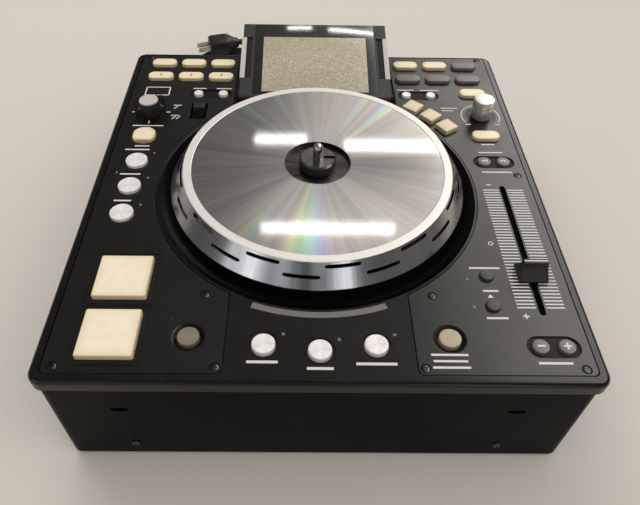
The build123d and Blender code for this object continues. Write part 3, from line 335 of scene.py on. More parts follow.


# yellowed moulding with painted shade on its sides and rounded edges; reach says how near to the edge
def ivory(name, color, edgeShadeColor, blotch, reach):
    m, tree, bsdf, place = startMaterial(name)
    edgeShade = add(tree, "ShaderNodeAttribute", attribute_name="edgeShade").outputs["Fac"]
    cloud = mapRange(tree, noise(tree, place, 130.0, 4.0), 0.4, 0.75)
    base = mixColor(tree, times(tree, cloud, blotch), color, edgeShadeColor)
    base = mixColor(tree, times(tree, calc(tree, "POWER", edgeShade, reach), 0.75), base, edgeShadeColor)
    values = {"Vector": place, "Color": base, "Roughness": 0.32}
    values.update({"Dust": 0.1, "Smudge": 0.1, "Scratch": 0.2, "Grain": 0.15})
    useGroup(tree, bsdf, wear, values, 0.2, 0.00004)
    setShader(tree, bsdf, {"Subsurface Weight": 0.15, "Subsurface Scale": 0.002})
    return m


mats.update({
    "ivory": ivory("capIvory", (0.8, 0.7, 0.5), (0.5, 0.38, 0.2), 0.15, 1.6),
    "ivoryBig": ivory("keyIvory", (0.86, 0.77, 0.6), (0.6, 0.47, 0.27), 0.2, 1.3),
    "smokeCap": ivory("capSmoke", (0.2, 0.175, 0.125), (0.13, 0.11, 0.075), 0.3, 1.6),
    "warmCap": ivory("capWarm", (0.42, 0.36, 0.26), (0.24, 0.18, 0.11), 0.35, 1.6),
    "ivoryArc": ivory("arcIvory", (0.68, 0.58, 0.42), (0.42, 0.33, 0.2), 0.25, 1.4),
})


# gritty pale layer of the unlit display
def screenGlass():
    m, tree, bsdf, place = startMaterial("screenGlass")
    grit = mapRange(tree, noise(tree, place, 560.0, 3.0, 0.7), 0.46, 0.68)
    cloud = mapRange(tree, noise(tree, place, 26.0, 3.0), 0.3, 0.7)
    base = mixColor(tree, grit, (0.33, 0.285, 0.2), (0.62, 0.56, 0.44))
    base = mixColor(tree, times(tree, cloud, 0.35), base, (0.3, 0.28, 0.2))
    setShader(tree, bsdf, {"Base Color": base, "Roughness": mapRange(tree, grit, 0, 1, 0.3, 0.42)})
    setShader(tree, bsdf, {"Coat Weight": 0.4, "Coat Roughness": 0.18})
    return m


mats["screen"] = screenGlass()
print("materials", len(mats))


def addObject(name, data):
    o = bpy.data.objects.new(name, data)
    scene.collection.objects.link(o)
    return o


view = {
    "place": (-0.0138, -0.3847, 0.4262),
    "pitch": 48.05,
    "yaw": 0.82,
    "roll": 1.12,
    "lens": 34.06,
    "shift": (0.024, 0.0086),
}


def makeCamera():
    pitch, yaw, roll = (math.radians(view[k]) for k in ("pitch", "yaw", "roll"))
    ahead = Vector((math.sin(yaw) * math.cos(pitch), math.cos(yaw) * math.cos(pitch), -math.sin(pitch)))
    level = Vector((math.cos(yaw), -math.sin(yaw), 0))
    upright = level.cross(ahead)
    right = math.cos(roll) * level + math.sin(roll) * upright
    up = -math.sin(roll) * level + math.cos(roll) * upright
    camera = addObject("camera", bpy.data.cameras.new("camera"))
    turn = Matrix((right, up, -ahead)).transposed().to_4x4()
    camera.matrix_world = Matrix.Translation(view["place"]) @ turn
    camera.data.lens = view["lens"]
    camera.data.shift_x, camera.data.shift_y = view["shift"]
    camera.data.clip_start = 0.01
    scene.camera = camera


def quad(name, corners, material):
    mesh = bpy.data.meshes.new(name)
    mesh.from_pydata(corners, [], [range(4)])
    mesh.materials.append(material)
    return addObject(name, mesh)


def flatQuad(x0, x1, y0, y1, z):
    return [(x0, y0, z), (x0, y1, z), (x1, y1, z), (x1, y0, z)]


floorLook = {"half": 4.0, "color": (0.62, 0.58, 0.53), "dust": (0.5, 0.46, 0.42)}


def makeFloor():
    m, tree, bsdf, place = startMaterial("floorPale")
    values = {"Vector": place, "Color": floorLook["color"], "Dust Color": floorLook["dust"]}
    values.update({"Dust": 0.3, "Smudge": 0.1, "Roughness": 0.75, "Grain": 0.3})
    useGroup(tree, bsdf, wear, values, 0.2, 0.0002)
    half = floorLook["half"]
    quad("floor", flatQuad(-half, half, half, -half, 0), m)


light = {
    "ceilingZ": 1.705,
    "ceiling": (-1.6, 2.2, -0.6, 4.2),
    "fade": ((-0.9, 0.6, 0.12, 0.62), (0.6, 0.92, 0.0, 3.3)),
    "lamps": ((-0.18, 0.4, 1.445, 1.505), (0.21, 0.72, 2.02, 2.1), (-0.24, 0.02, 2.07, 2.14)),
    "lampStrength": 26.0,
    "front": ((-2.2, -1.0), (0.9, -2.0), 0.12, 1.25),
    "bands": (1.9, 0.03, 1.9),
    # place, size and power
    "areas": {
        "keyLight": ((-0.5, 0.9, 1.6), (1.4, 0.8), 14),
        "fillLight": ((0.9, -0.6, 1.3), (1.2, 1.2), 7),
    },
    "areaColor": (1, 0.97, 0.93),
    "aim": Vector((0, 0, 0.05)),
    "world": 0.62,
    "worldMirrored": 0.16,
    "worldSeen": 0.95,
}


# the ceiling is brighter towards the right
def ceilingFade(tree, place):
    x = add(tree, "ShaderNodeSeparateXYZ", {0: place}).outputs[0]
    left, right = (mapRange(tree, x, *part) for part in light["fade"])
    return plus(tree, left, right)


def frontBands(tree, place):
    scale, dim, bright = light["bands"]
    flat = vectorCalc(tree, "MULTIPLY", {0: place, 1: (1, 0, 0.15)})
    return mapRange(tree, noise(tree, flat, scale, 4.0, 0.65), 0.42, 0.62, dim, bright)


# a glowing panel that only glossy surfaces see
def emitter(name, corners, color, strength=1.0, pattern=None):
    m = bpy.data.materials.new(name)
    m.use_nodes = True
    tree = m.node_tree
    tree.nodes.clear()
    glow = add(tree, "ShaderNodeEmission", {"Color": color, "Strength": strength})
    if pattern:
        place = add(tree, "ShaderNodeTexCoord").outputs["Object"]
        feed(tree, glow.inputs["Strength"], pattern(tree, place))
    clear = add(tree, "ShaderNodeBsdfTransparent").outputs[0]
    glossy = add(tree, "ShaderNodeLightPath").outputs["Is Glossy Ray"]
    mix = add(tree, "ShaderNodeMixShader", {0: glossy, 1: clear, 2: glow.outputs[0]})
    add(tree, "ShaderNodeOutputMaterial", {0: mix.outputs[0]})
    o = quad(name, corners, m)
    o.visible_camera = False
    o.visible_shadow = False
    o.visible_diffuse = False


def areaLight(name, place, size, power):
    data = bpy.data.lights.new(name, "AREA")
    data.shape = "RECTANGLE"
    data.size, data.size_y = size
    data.energy = power
    data.color = light["areaColor"]
    o = addObject(name, data)
    o.location = place
    o.rotation_euler = (light["aim"] - Vector(place)).to_track_quat("-Z", "Y").to_euler()
    o.visible_glossy = False


def makeLight():
    world = bpy.data.worlds.new("studio")
    scene.world = world
    world.use_nodes = True
    tree = world.node_tree
    back = next(n for n in tree.nodes if n.type == "BACKGROUND")
    path = add(tree, "ShaderNodeLightPath").outputs
    level = mapRange(tree, path["Is Glossy Ray"], 0, 1, light["world"], light["worldMirrored"])
    seen = times(tree, path["Is Camera Ray"], light["worldSeen"])
    feed(tree, back.inputs["Color"], (1, 0.98, 0.95))
    feed(tree, back.inputs["Strength"], calc(tree, "MAXIMUM", level, seen))
    z = light["ceilingZ"]
    emitter("ceilingGlow", flatQuad(*light["ceiling"], z + 0.05), (1, 0.95, 0.89), pattern=ceilingFade)
    for number, lamp in enumerate(light["lamps"]):
        emitter(f"ceilingLamp{number}", flatQuad(*lamp, z), (1, 0.98, 0.95), light["lampStrength"])
    # a broken row of soft lights in front, for the turned metal to mirror
    left, right, low, high = light["front"]
    corners = [(*left, low), (*right, low), (*right, high), (*left, high)]
    emitter("frontGlow", corners, (0.93, 0.96, 1.0), pattern=frontBands)
    for name, values in light["areas"].items():
        areaLight(name, *values)


makeCamera()
makeFloor()
makeLight()
scene.view_settings.view_transform = "Standard"
print("camera and light")


# smooth faces, with edges sharper than the angle left crisp
def shade(o, degrees):
    bm = bmesh.new()
    bm.from_mesh(o.data)
    for face in bm.faces:
        face.smooth = True
    for e in bm.edges:
        e.smooth = len(e.link_faces) == 2 and e.calc_face_angle(0) < math.radians(degrees)
    bm.to_mesh(o.data)
    bm.free()


def fromBm(name, bm, crisp=None):
    mesh = bpy.data.meshes.new(name)
    bm.to_mesh(mesh)
    bm.free()
    o = addObject(name, mesh)
    if crisp:
        shade(o, crisp)
    return o


def paint(o, *names):
    o.data.materials.clear()
    for n in names:
        o.data.materials.append(mats[n])


def byPlace(o, rule):
    for poly in o.data.polygons:
        poly.material_index = rule(poly.center, poly.normal)


# a profile of radii and heights turned about a middle
def lathe(name, profile, steps, centre=(0, axisY), closed=False, crisp=32):
    bm = bmesh.new()
    rows = []
    for k in range(steps):
        c, s = math.cos(2 * math.pi * k / steps), math.sin(2 * math.pi * k / steps)
        rows.append([bm.verts.new((centre[0] + r * c, centre[1] + r * s, z)) for r, z in profile])
    count = len(profile)
    for here, there in zip(rows, rows[1:] + rows[:1]):
        for j in range(count if closed else count - 1):
            i = (j + 1) % count
            bm.faces.new((here[j], there[j], there[i], here[i]))
    bmesh.ops.remove_doubles(bm, verts=bm.verts, dist=1e-7)
    bmesh.ops.recalc_face_normals(bm, faces=bm.faces)
    return fromBm(name, bm, crisp)


# rows of points joined side by side, with both ends closed
def loft(name, rows, bevel=0.0, crisp=None):
    bm = bmesh.new()
    loops = [[bm.verts.new(p) for p in row] for row in rows]
    for low, high in zip(loops, loops[1:]):
        for k in range(len(low)):
            i = (k + 1) % len(low)
            bm.faces.new((low[k], low[i], high[i], high[k]))
    bm.faces.new(loops[-1])
    bm.faces.new(list(reversed(loops[0])))
    bmesh.ops.recalc_face_normals(bm, faces=bm.faces)
    if bevel:
        bmesh.ops.bevel(bm, geom=bm.edges[:], offset=bevel, segments=2, profile=0.6, affect="EDGES")
    return fromBm(name, bm, crisp)


def rectangle(x0, x1, y0, y1):
    return [(x0, y0), (x1, y0), (x1, y1), (x0, y1)]


def boxMesh(name, low, high, bevel=0.0):
    outline = rectangle(low[0], high[0], low[1], high[1])
    rows = [[(x, y, z) for x, y in outline] for z in (low[2], high[2])]
    return loft(name, rows, bevel, 40 if bevel else None)


def roundedOutline(width, depth, radius, steps=7):
    points = []
    for cx, cy, start in ((1, 1, 0), (-1, 1, 90), (-1, -1, 180), (1, -1, 270)):
        for k in range(steps + 1):
            a = math.radians(start + 90 * k / steps)
            x = cx * (width / 2 - radius) + radius * math.cos(a)
            y = cy * (depth / 2 - radius) + radius * math.sin(a)
            points.append((x, y))
    return points


# the cap under the tempo knob has its sides and its front cut straight
def roundOutline(radius, steps=48, flat=None):
    points = []
    for k in range(steps):
        a = 2 * math.pi * k / steps
        x, y = radius * math.cos(a), radius * math.sin(a)
        if flat:
            x = max(-radius + 0.0008, min(radius - 0.0008, x))
            y = max(-radius + flat, y)
        points.append((x, y))
    return points


def localAttribute(o, centre):
    local = o.data.attributes.new("local", "FLOAT_VECTOR", "POINT")
    for v in o.data.vertices:
        local.data[v.index].vector = v.co - Vector(centre)


itemGroupInputs = (("Geometry", "Geometry", None), ("Item", "Object", None), ("Material", "Material", None))


# the ends of both groups: items placed on points, made real, and the whole painted
def placeItems(tree, given, points, rotation):
    item = add(tree, "GeometryNodeObjectInfo", {"Object": given["Item"]}).outputs["Geometry"]
    feeds = {"Points": points, "Instance": item, "Rotation": rotation}
    placed = add(tree, "GeometryNodeInstanceOnPoints", feeds).outputs[0]
    return add(tree, "GeometryNodeRealizeInstances", {0: placed}).outputs[0]


def paintAndEnd(tree, given, geometry, out):
    feeds = {"Geometry": geometry, "Material": given["Material"]}
    feed(tree, out[0], add(tree, "GeometryNodeSetMaterial", feeds).outputs[0])


# one copy of an item on each point, turned as the point says, with a random roll about its own axis
def spreadGroup():
    inputs = (*itemGroupInputs, ("Roll", "Float", 0.0), ("Seed", "Int", 3))
    tree, given, out = newTree("spreadItems", "GeometryNodeTree", inputs, (("Geometry", "Geometry"),))
    turn = add(tree, "GeometryNodeInputNamedAttribute", {"Name": "turn"}, data_type="FLOAT_VECTOR")
    limits = {2: times(tree, given["Roll"], -1.0), 3: given["Roll"], "Seed": given["Seed"]}
    roll = add(tree, "FunctionNodeRandomValue", limits, data_type="FLOAT").outputs[1]
    feeds = {0: turn.outputs[0], 1: combine(tree, {2: roll})}
    turned = add(tree, "FunctionNodeRotateEuler", feeds, rotation_type="EULER", space="LOCAL").outputs[0]
    paintAndEnd(tree, given, placeItems(tree, given, given["Geometry"], turned), out)
    return tree


# a body with a ring of cutters taken out of it
def cutGroup():
    inputs = (*itemGroupInputs, ("Count", "Int", 12), ("Start", "Float", 0.0), ("Middle", "Vector", None))
    tree, given, out = newTree("cutRing", "GeometryNodeTree", inputs, (("Geometry", "Geometry"),))
    feeds = {"Count": given["Count"], "Position": given["Middle"]}
    points = add(tree, "GeometryNodePoints", feeds).outputs[0]
    number = add(tree, "GeometryNodeInputIndex").outputs[0]
    step = calc(tree, "DIVIDE", 2 * math.pi, given["Count"])
    angle = plus(tree, times(tree, number, step), given["Start"])
    cutters = placeItems(tree, given, points, combine(tree, {2: angle}))
    feeds = {0: given["Geometry"], 1: cutters}
    cut = add(tree, "GeometryNodeMeshBoolean", feeds, operation="DIFFERENCE", solver="EXACT").outputs[0]
    paintAndEnd(tree, given, cut, out)
    return tree


spread = spreadGroup()
cutRing = cutGroup()


def runNodes(o, tree, values):
    mod = o.modifiers.new(tree.name, "NODES")
    mod.node_group = tree
    sockets = [s for s in tree.interface.items_tree if s.item_type == "SOCKET" and s.in_out == "INPUT"]
    names = {s.name: s.identifier for s in sockets}
    for key, value in values.items():
        mod[names[key]] = value


def cutAway(o, cutter):
    mod = o.modifiers.new("cut", "BOOLEAN")
    mod.object = cutter
    mod.operation = "DIFFERENCE"


# the evaluated shape becomes a plain mesh; material slots left empty by the nodes are dropped
def bake(o, name):
    bpy.context.view_layer.update()
    mesh = bpy.data.meshes.new_from_object(o.evaluated_get(bpy.context.evaluated_depsgraph_get()))
    mesh.name = name
    made = addObject(name, mesh)
    o.modifiers.clear()
    discard(o)
    kept = [m for m in mesh.materials if m]
    if kept and len(kept) < len(mesh.materials):
        place = [kept.index(m) if m else 0 for m in mesh.materials]
        indices = [place[face.material_index] for face in mesh.polygons]
        mesh.materials.clear()
        for m in kept:
            mesh.materials.append(m)
        mesh.polygons.foreach_set("material_index", indices)
    return made


def discard(*objs):
    for o in objs:
        bpy.data.objects.remove(o)


# places are pairs: a point and the angles that the item turns by
def scatter(name, item, places, material, roll=0.0, seed=3):
    mesh = bpy.data.meshes.new(name + "Points")
    mesh.from_pydata([p for p, _ in places], [], [])
    turn = mesh.attributes.new("turn", "FLOAT_VECTOR", "POINT")
    for k, (_, angles) in enumerate(places):
        turn.data[k].vector = angles
    points = addObject(name + "Points", mesh)
    runNodes(points, spread, {"Item": item, "Material": mats[material], "Roll": roll, "Seed": seed})
    made = bake(points, name)
    if not made.data.materials:
        made.data.materials.append(mats[material])
    return made


def join(name, objs):
    bm = bmesh.new()
    for o in objs:
        bm.from_mesh(o.data)
    materials = list(objs[0].data.materials)
    discard(*objs)
    made = fromBm(name, bm)
    for m in materials:
        made.data.materials.append(m)
    return made


# what a piece rides on and what it stands for
def settle(o, body, replaces=()):
    if replaces:
        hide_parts(*replaces)
    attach(o, body)


platterSize = {
    "profile": (
        (0.0045, 0.1115), (0.030, 0.1115), (0.030, 0.124), (0.1007, 0.124), (0.1121, 0.1123),
        (0.1121, 0.1108), (0.1140, 0.1108), (0.1143, 0.1111), (0.1143, 0.1121), (0.11415, 0.1125),
        (0.1033, 0.1279), (0.1031, 0.1283), (0.1026, 0.1285), (0.0975, 0.1285), (0.0971, 0.12844),
        (0.0968, 0.12825), (0.0256, 0.12825), (0.0255, 0.1281), (0.0255, 0.1251), (0.0254, 0.125),
        (0.0045, 0.125),
    ),
    "steps": 288,
    "slots": 12,
    "slotWidth": 0.0026,
    "slotSweep": 13.4,
    "rows": ((0.125, 8.6), (0.119, 23.6)),  # height and first angle of each row of slots
    "skirtFoot": (0.1143, 0.1123),
    "skirtSlope": (0.0112, 0.0157),
    "faceEdge": 0.0972,
    "wellEdge": 0.0256,
}


# one slot of the skirt, wide in the middle and rounded at its ends
def slotCutter(height):
    p = platterSize
    run, drop = p["skirtSlope"]
    radius = p["skirtFoot"][0] - run * (height - p["skirtFoot"][1]) / drop - 0.0011
    out = Vector((drop, 0, run)).normalized()
    along = Vector((-run, 0, drop)).normalized()
    half = math.radians(p["slotSweep"]) / 2
    endTurn = 0.35 * p["slotWidth"] / 2 / radius
    rings = [(half * (k / 6 - 1), 0.5) for k in range(1, 12)]
    rings = [(-half, 0.2), (endTurn - half, 0.38), *rings, (half - endTurn, 0.38), (half, 0.2)]
    rows = []
    for turn, share in rings:
        spin = Matrix.Rotation(turn, 3, "Z")
        w = share * p["slotWidth"]
        middle = Vector((radius, 0, height))
        rows.append([spin @ (middle + out * o + along * a) for o, a in rectangle(-0.004, 0.004, -w, w)])
    return loft("slotCutter", rows)


# each face of the turned part keeps the exact normal of its profile, so the cuts don't mark the shading
def turnedNormals(o, profile):
    mesh = o.data
    runs = []
    for (r0, z0), (r1, z1) in zip(profile, profile[1:] + profile[:1]):
        length = math.hypot(r1 - r0, z1 - z0)
        runs.append((r0, z0, (r1 - r0) / length, (z1 - z0) / length, length))
    normals = [(0, 0, 1)] * len(mesh.loops)
    for face in mesh.polygons:
        r = math.hypot(face.center.x, face.center.y - axisY)
        a = math.atan2(face.center.y - axisY, face.center.x)
        out, up = face.normal.x * math.cos(a) + face.normal.y * math.sin(a), face.normal.z
        best, found = 0.96, None
        for r0, z0, dr, dz, length in runs:
            dx, dy = r - r0, face.center.z - z0
            near = abs(dx * dz - dy * dr) < 0.0003 and -0.0004 < dx * dr + dy * dz < length + 0.0004
            if near and dz * out - dr * up > best:
                best, found = dz * out - dr * up, (dz, -dr)
        for i in face.loop_indices:
            v = mesh.vertices[mesh.loops[i].vertex_index].co
            b = math.atan2(v.y - axisY, v.x)
            if found:
                normals[i] = (found[0] * math.cos(b), found[0] * math.sin(b), found[1])
            else:
                normals[i] = tuple(face.normal)
    mesh.normals_split_custom_set(normals)


def makePlatter():
    p = platterSize
    body = lathe("platterBlank", p["profile"], p["steps"], closed=True)
    for height, start in p["rows"]:
        cutter = slotCutter(height)
        values = {"Item": cutter, "Material": mats["platterFace"], "Count": p["slots"]}
        runNodes(body, cutRing, {**values, "Start": math.radians(start - 90), "Middle": (0.0, axisY, 0.0)})
        body = bake(body, "platterCut")
        discard(cutter)
    body.name = "platterBody"
    shade(body, 28)
    # the floor of the recess round the hub takes a painted shadow
    paint(body, "platterFace", "platterRing", "skirt", "blackShadeAndPrint", "shadedHubWell")

    def zone(c, n):
        r = math.hypot(c.x, c.y - axisY)
        if c.z > 0.1276 and r < p["faceEdge"]:
            return 0
        if c.z > 0.1278:
            return 1
        if r > 0.1135 or (r > 0.1015 and n.z > 0.2):
            return 2
        # the slot walls and the underside are painted black as shade
        return 4 if r < p["wellEdge"] and c.z > 0.1245 else 3

    byPlace(body, zone)
    turnedNormals(body, p["profile"])
    settle(body, "platter_assembly", ["platter"])
    print("platter", len(body.data.polygons))


hubSize = {
    "profile": (
        (0.0, 0.0498), (0.004, 0.0498), (0.004, 0.109), (0.031, 0.109), (0.031, 0.1115), (0.004, 0.1115),
        (0.004, 0.125), (0.0138, 0.125), (0.014, 0.1252), (0.014, 0.1318), (0.01395, 0.132),
        (0.0128, 0.1331), (0.0127, 0.1332), (0.0037, 0.1332), (0.0036, 0.1333), (0.0036, 0.1423),
        (0.0035, 0.1431), (0.0032, 0.1439), (0.0026, 0.1447), (0.0018, 0.1452), (0.0009, 0.14545),
        (0.0, 0.1455),
    ),
    "slotLow": (0.0048, axisY - 0.0015, 0.1312),
    "slotHigh": (0.0142, axisY + 0.0015, 0.136),
}


def makeHub():
    h = hubSize
    body = lathe("hubBlank", h["profile"], 96)
    slot = boxMesh("hubSlot", h["slotLow"], h["slotHigh"])
    cutAway(body, slot)
    body = bake(body, "hubAndSpindle")
    discard(slot)
    shade(body, 30)
    paint(body, "spindle", "hubTop", "knob", "blackShadeAndPrint")

    def zone(c, n):
        if math.hypot(c.x, c.y - axisY) < 0.0037 and c.z > 0.1331:
            return 0
        if c.z > 0.1319:
            return 1
        # the walls of the slit are painted black as shade
        if c.z > h["slotLow"][2] and abs(c.y - axisY) < 0.0016 and c.x > 0.004:
            return 3
        return 2 if c.z > 0.12 else 0

    byPlace(body, zone)
    settle(body, "platter_assembly", ["drive_spindle"])
    print("hub and spindle")


capFoot = 0.1016
capSize = {
    "pad": {"outline": roundedOutline(0.024, 0.012, 0.0052), "rise": 0.0028, "edge": 0.0009},
    "big": {
        "outline": roundedOutline(0.0365, 0.0365, 0.0015, 4), "rise": 0.0036, "edge": 0.0011,
        "dome": 0.0001,
    },
    "arc": {"outline": roundedOutline(0.0146, 0.0146, 0.001, 3), "rise": 0.0036, "edge": 0.0006},
    "memory": {"outline": roundOutline(0.0042), "rise": 0.0018, "edge": 0.0007, "dome": -0.0002},
    "effect": {"outline": roundOutline(0.0089), "rise": 0.0024, "edge": 0.0006, "dome": -0.0002},
    "front": {"outline": roundOutline(0.0076), "rise": 0.0026, "edge": 0.0009, "dome": -0.0002},
    "source": {"outline": roundOutline(0.0072), "rise": 0.0009, "edge": 0.0004},
    "small": {"outline": roundOutline(0.0048), "rise": 0.002, "edge": 0.0006},
    "pair": {"outline": roundOutline(0.0054), "rise": 0.0012, "edge": 0.0005},
    "tap": {"outline": roundOutline(0.0104, 56, 0.0024), "rise": 0.0024, "edge": 0.0008},
}
inner1, inner2 = column - columnStep, column - 2 * columnStep
padRows = {"mode": 0.1793, "lower": 0.1552}
pairPlaces = {
    "search_back_button": (column - 0.008, 0.031),
    "search_forward_button": (column + 0.008, 0.031),
    "bend_down_button": (column - 0.0084, -0.1528),
    "bend_up_button": (column + 0.0084, -0.1528),
}
# three keys on an arc beside the platter, turned with it
arcRadius = 0.1396
arcPlaces = {}
for number, degrees in ((1, 50.0), (2, 41.9), (3, 33.8)):
    a = math.radians(degrees)
    arcPlaces[f"arc_key_{number}"] = (arcRadius * math.cos(a), arcRadius * math.sin(a), a)

# kind, finish and the places of the caps
capRows = (
    ("big", "ivoryBig", {"cue_key": (-0.134, -0.099), "play_key": (-0.134, -0.146)}),
    ("arc", "ivoryArc", arcPlaces),
    ("memory", "disc", {
        "left_memory_button_1": (-inner2 - 0.0186, 0.1272),
        "left_memory_button_2": (-inner2 + 0.0044, 0.1272),
        "right_memory_button_1": (inner2 - 0.0044, 0.1282),
        "right_memory_button_2": (inner2 + 0.0186, 0.1282),
    }),
    ("effect", "disc", {
        "echo_button": (-column, 0.027),
        "flanger_button": (-column, -0.0042),
        "filter_button": (-column, -0.0352),
    }),
    ("front", "disc", {
        "brake_button": (-0.0357, -0.153),
        "dump_button": (0.0, -0.1572),
        "reverse_button": (0.0357, -0.153),
    }),
    ("source", "smokeCap", {"mix_button": (-0.0838, -0.147)}),
    ("source", "warmCap", {"source_button": (0.0834, -0.147)}),
    ("small", "darkCap", {"key_adjust_button": (0.1172, -0.0944), "range_button": (0.1164, -0.1207)}),
    ("pair", "greyCap", pairPlaces),
    ("tap", "ivory", {"tap_key": (-column, 0.0616)}),
)


# a straight side, a rounded edge and a slightly domed or dished top
def addCap(node, kind, place, material):
    size = capSize[kind]
    outline, edge, dome = size["outline"], size["edge"], size.get("dome", 0.0002)
    x0, y0, top = place[0], axisY + place[1], deckZ + size["rise"]
    reach = max(math.hypot(*p) for p in outline)
    rings = [(1 + 0.0003 / reach, 0, capFoot), (1, 0, top - edge)]  # scale, inset and height
    for k in range(1, 6):
        a = math.radians(90 * k / 5)
        rings.append((1, edge * (1 - math.cos(a)), top - edge * (1 - math.sin(a))))
    for share in (0.8, 0.55, 0.3, 0.1):
        rings.append((share * (1 - edge / reach), 0, top + dome * (1 - share * share)))
    spin = Matrix.Rotation(place[2] if len(place) > 2 else 0.0, 3, "Z")
    rows = []
    for scale, inset, z in rings:
        points = [spin @ Vector((x, y, 0)) * (scale - inset / math.hypot(x, y)) for x, y in outline]
        rows.append([p + Vector((x0, y0, z)) for p in points])
    o = loft(node + "Cap", rows, crisp=35)
    localAttribute(o, (x0, y0, top))
    # how much painted shade each ring takes: full on the side and most of the rounded edge, none on the top
    edgeShade = o.data.attributes.new("edgeShade", "FLOAT", "POINT")
    shares = [1.0] * 6 + [0.55, 0.18, 0.0, 0.0, 0.0]
    for i, value in enumerate(edgeShade.data):
        value.value = shares[i // len(outline)]
    paint(o, material)
    settle(o, node, [node])


def makeCaps():
    pads = {}
    for side, tag in ((-1, "left"), (1, "right")):
        for number, x in ((1, inner2), (2, inner1), (3, column)):
            place = 4 - number if side < 0 else number
            for row, y in padRows.items():
                pads[f"{tag}_{row}_pad_{place}"] = (side * x, y)
    pads["playlist_pad"] = (column, 0.131)
    pads["back_pad"] = (column, 0.0655)
    for node, place in pads.items():
        dark = node.startswith("right_lower") or node == "right_mode_pad_3"
        addCap(node, "pad", place, "greyCap" if dark else "ivory")
    for kind, material, places in capRows:
        for node, place in places.items():
            addCap(node, kind, place, material)
    print("caps")


knobSize = {
    "tempoPlace": (-column, 0.0962),
    "tempo": (
        (0.0, 0.1055), (0.0093, 0.1055), (0.0094, 0.1057), (0.0087, 0.1174), (0.0084, 0.118),
        (0.0083, 0.1181), (0.0081, 0.1189), (0.0078, 0.119), (0.0, 0.119),
    ),
    "tempoTop": 0.118,
    "ridge": ((-0.0003, -0.00032, 0.1058), (0.0006, 0.00032, 0.1176), 0.0002),  # corners and bevel
    "ridges": 30,
    "ridgeRadius": 0.0084,
    "ridgeLean": 0.045,
    "selectPlace": (column + 0.0014, 0.0962),
    "select": (
        (0.0, 0.1055), (0.0087, 0.1055), (0.0088, 0.1057), (0.00878, 0.1162), (0.0087, 0.1164),
        (0.0082, 0.1164), (0.0081, 0.1165), (0.0081, 0.1169), (0.0082, 0.117), (0.009, 0.117),
        (0.0092, 0.1172), (0.0092, 0.1224), (0.00905, 0.123), (0.0087, 0.1234), (0.0082, 0.1235),
        (0.0, 0.1235),
    ),
}


def makeKnobs():
    k = knobSize
    x, y = k["tempoPlace"][0], axisY + k["tempoPlace"][1]
    body = lathe("tempoKnobBody", k["tempo"], 96, (x, y))
    paint(body, "knob", "knobTop")
    byPlace(body, lambda c, n: 1 if c.z > k["tempoTop"] else 0)
    ridge = boxMesh("ridge", *k["ridge"])
    places = []
    for i in range(k["ridges"]):
        a = 2 * math.pi * i / k["ridges"]
        place = (x + k["ridgeRadius"] * math.cos(a), y + k["ridgeRadius"] * math.sin(a), 0.0)
        places.append((place, (0.0, k["ridgeLean"], a)))
    ridges = scatter("tempoKnobRidges", ridge, places, "knob")
    discard(ridge)
    shade(ridges, 40)
    settle(body, "tempo_knob", ["tempo_knob"])
    settle(ridges, "tempo_knob")
    centre = (k["selectPlace"][0], axisY + k["selectPlace"][1])
    body = lathe("selectKnobBody", k["select"], 96, centre)
    localAttribute(body, (*centre, 0.12))
    paint(body, "selectMetal")
    settle(body, "select_knob", ["select_knob"])
    print("knobs")


faderSize = {
    "place": (column, -0.0925),
    "foot": 0.106,
    "straight": 0.0017,
    "top": 0.1196,
    "base": (0.0204, 0.017),
    "ridge": (0.0168, 0.0044),
    "soften": 0.0004,
    "lineHalf": 0.0005,
    "lineMargin": 0.0003,
    "lineRise": (-0.0006, 0.00004),
}


# a cap with hollowed front and rear faces, narrowing to a ridge with a white line
def makeFader():
    f = faderSize
    x, y = f["place"][0], axisY + f["place"][1]
    hx, hy = f["base"][0] / 2, f["base"][1] / 2
    rx, ry = f["ridge"][0] / 2, f["ridge"][1] / 2
    foot, top, soften = f["foot"], f["top"], f["soften"]
    start = foot + f["straight"]
    side = [(hy, foot), (hy, start)]
    for k in range(1, 10):
        t = k / 9
        side.append((ry + (hy - ry) * (1 - t) ** 2.3, start + (top - soften - start) * t))
    side.append((ry - soften, top))
    section = side + [(-b, z) for b, z in reversed(side)]
    rows = []
    for end in (-1, 1):
        rows.append([(x + end * (hx + (rx - hx) * (z - foot) / (top - foot)), y + b, z) for b, z in section])
    body = loft("faderCapBody", rows)
    mod = body.modifiers.new("soften", "BEVEL")
    mod.width = soften
    mod.segments = 3
    mod.limit_method = "ANGLE"
    mod.angle_limit = math.radians(35)
    body = bake(body, "faderCap")
    shade(body, 35)
    paint(body, "knob")
    half, length = f["lineHalf"], rx - f["lineMargin"]
    low, high = (top + rise for rise in f["lineRise"])
    line = boxMesh("faderLine", (x - length, y - half, low), (x + length, y + half, high), 0.00002)
    paint(line, "ink")
    settle(body, "pitch_fader", ["pitch_fader"])
    settle(line, "pitch_fader")
    print("fader cap")


displaySize = {
    "slope": math.radians(13.0),
    "start": Vector((0, axisY + 0.1215, deckZ + 0.0039)),
    "screen": (-0.0502, 0.0502, 0.004, 0.0765),
    "lens": (-0.0585, 0.0585, 0.0008, 0.0944),
    "grip": (0.0212, 0.0758),
    "gripBar": (0.0668, 0.0715),
    # heights over the face: lens, glass, grip bar and rib
    "lensRise": (-0.0019, 0.00012),
    "glassRise": (-0.0005, 0.0002),
    "barRise": (-0.0021, 0.00015),
    "ribRise": -0.002,
    "rib": (0.0021, 0.0006, (-0.0004, 0.0007)),
    "ribs": 22,
    "ribPlace": 0.0642,
    "ribMargin": 0.0014,
}


def onFace(x, v, h):
    d = displaySize
    c, s = math.cos(d["slope"]), math.sin(d["slope"])
    return d["start"] + Vector((x, v * c - h * s, v * s + h * c))


# a thin plate along the sloping face; low and high count from that face
def faceSlab(name, edges, low, high, material, slot):
    rows = [[onFace(x, v, h) for x, v in rectangle(*edges)] for h in (low, high)]
    o = loft(name, rows, min(0.0002, (high - low) * 0.3), 40)
    paint(o, material)
    settle(o, "display")


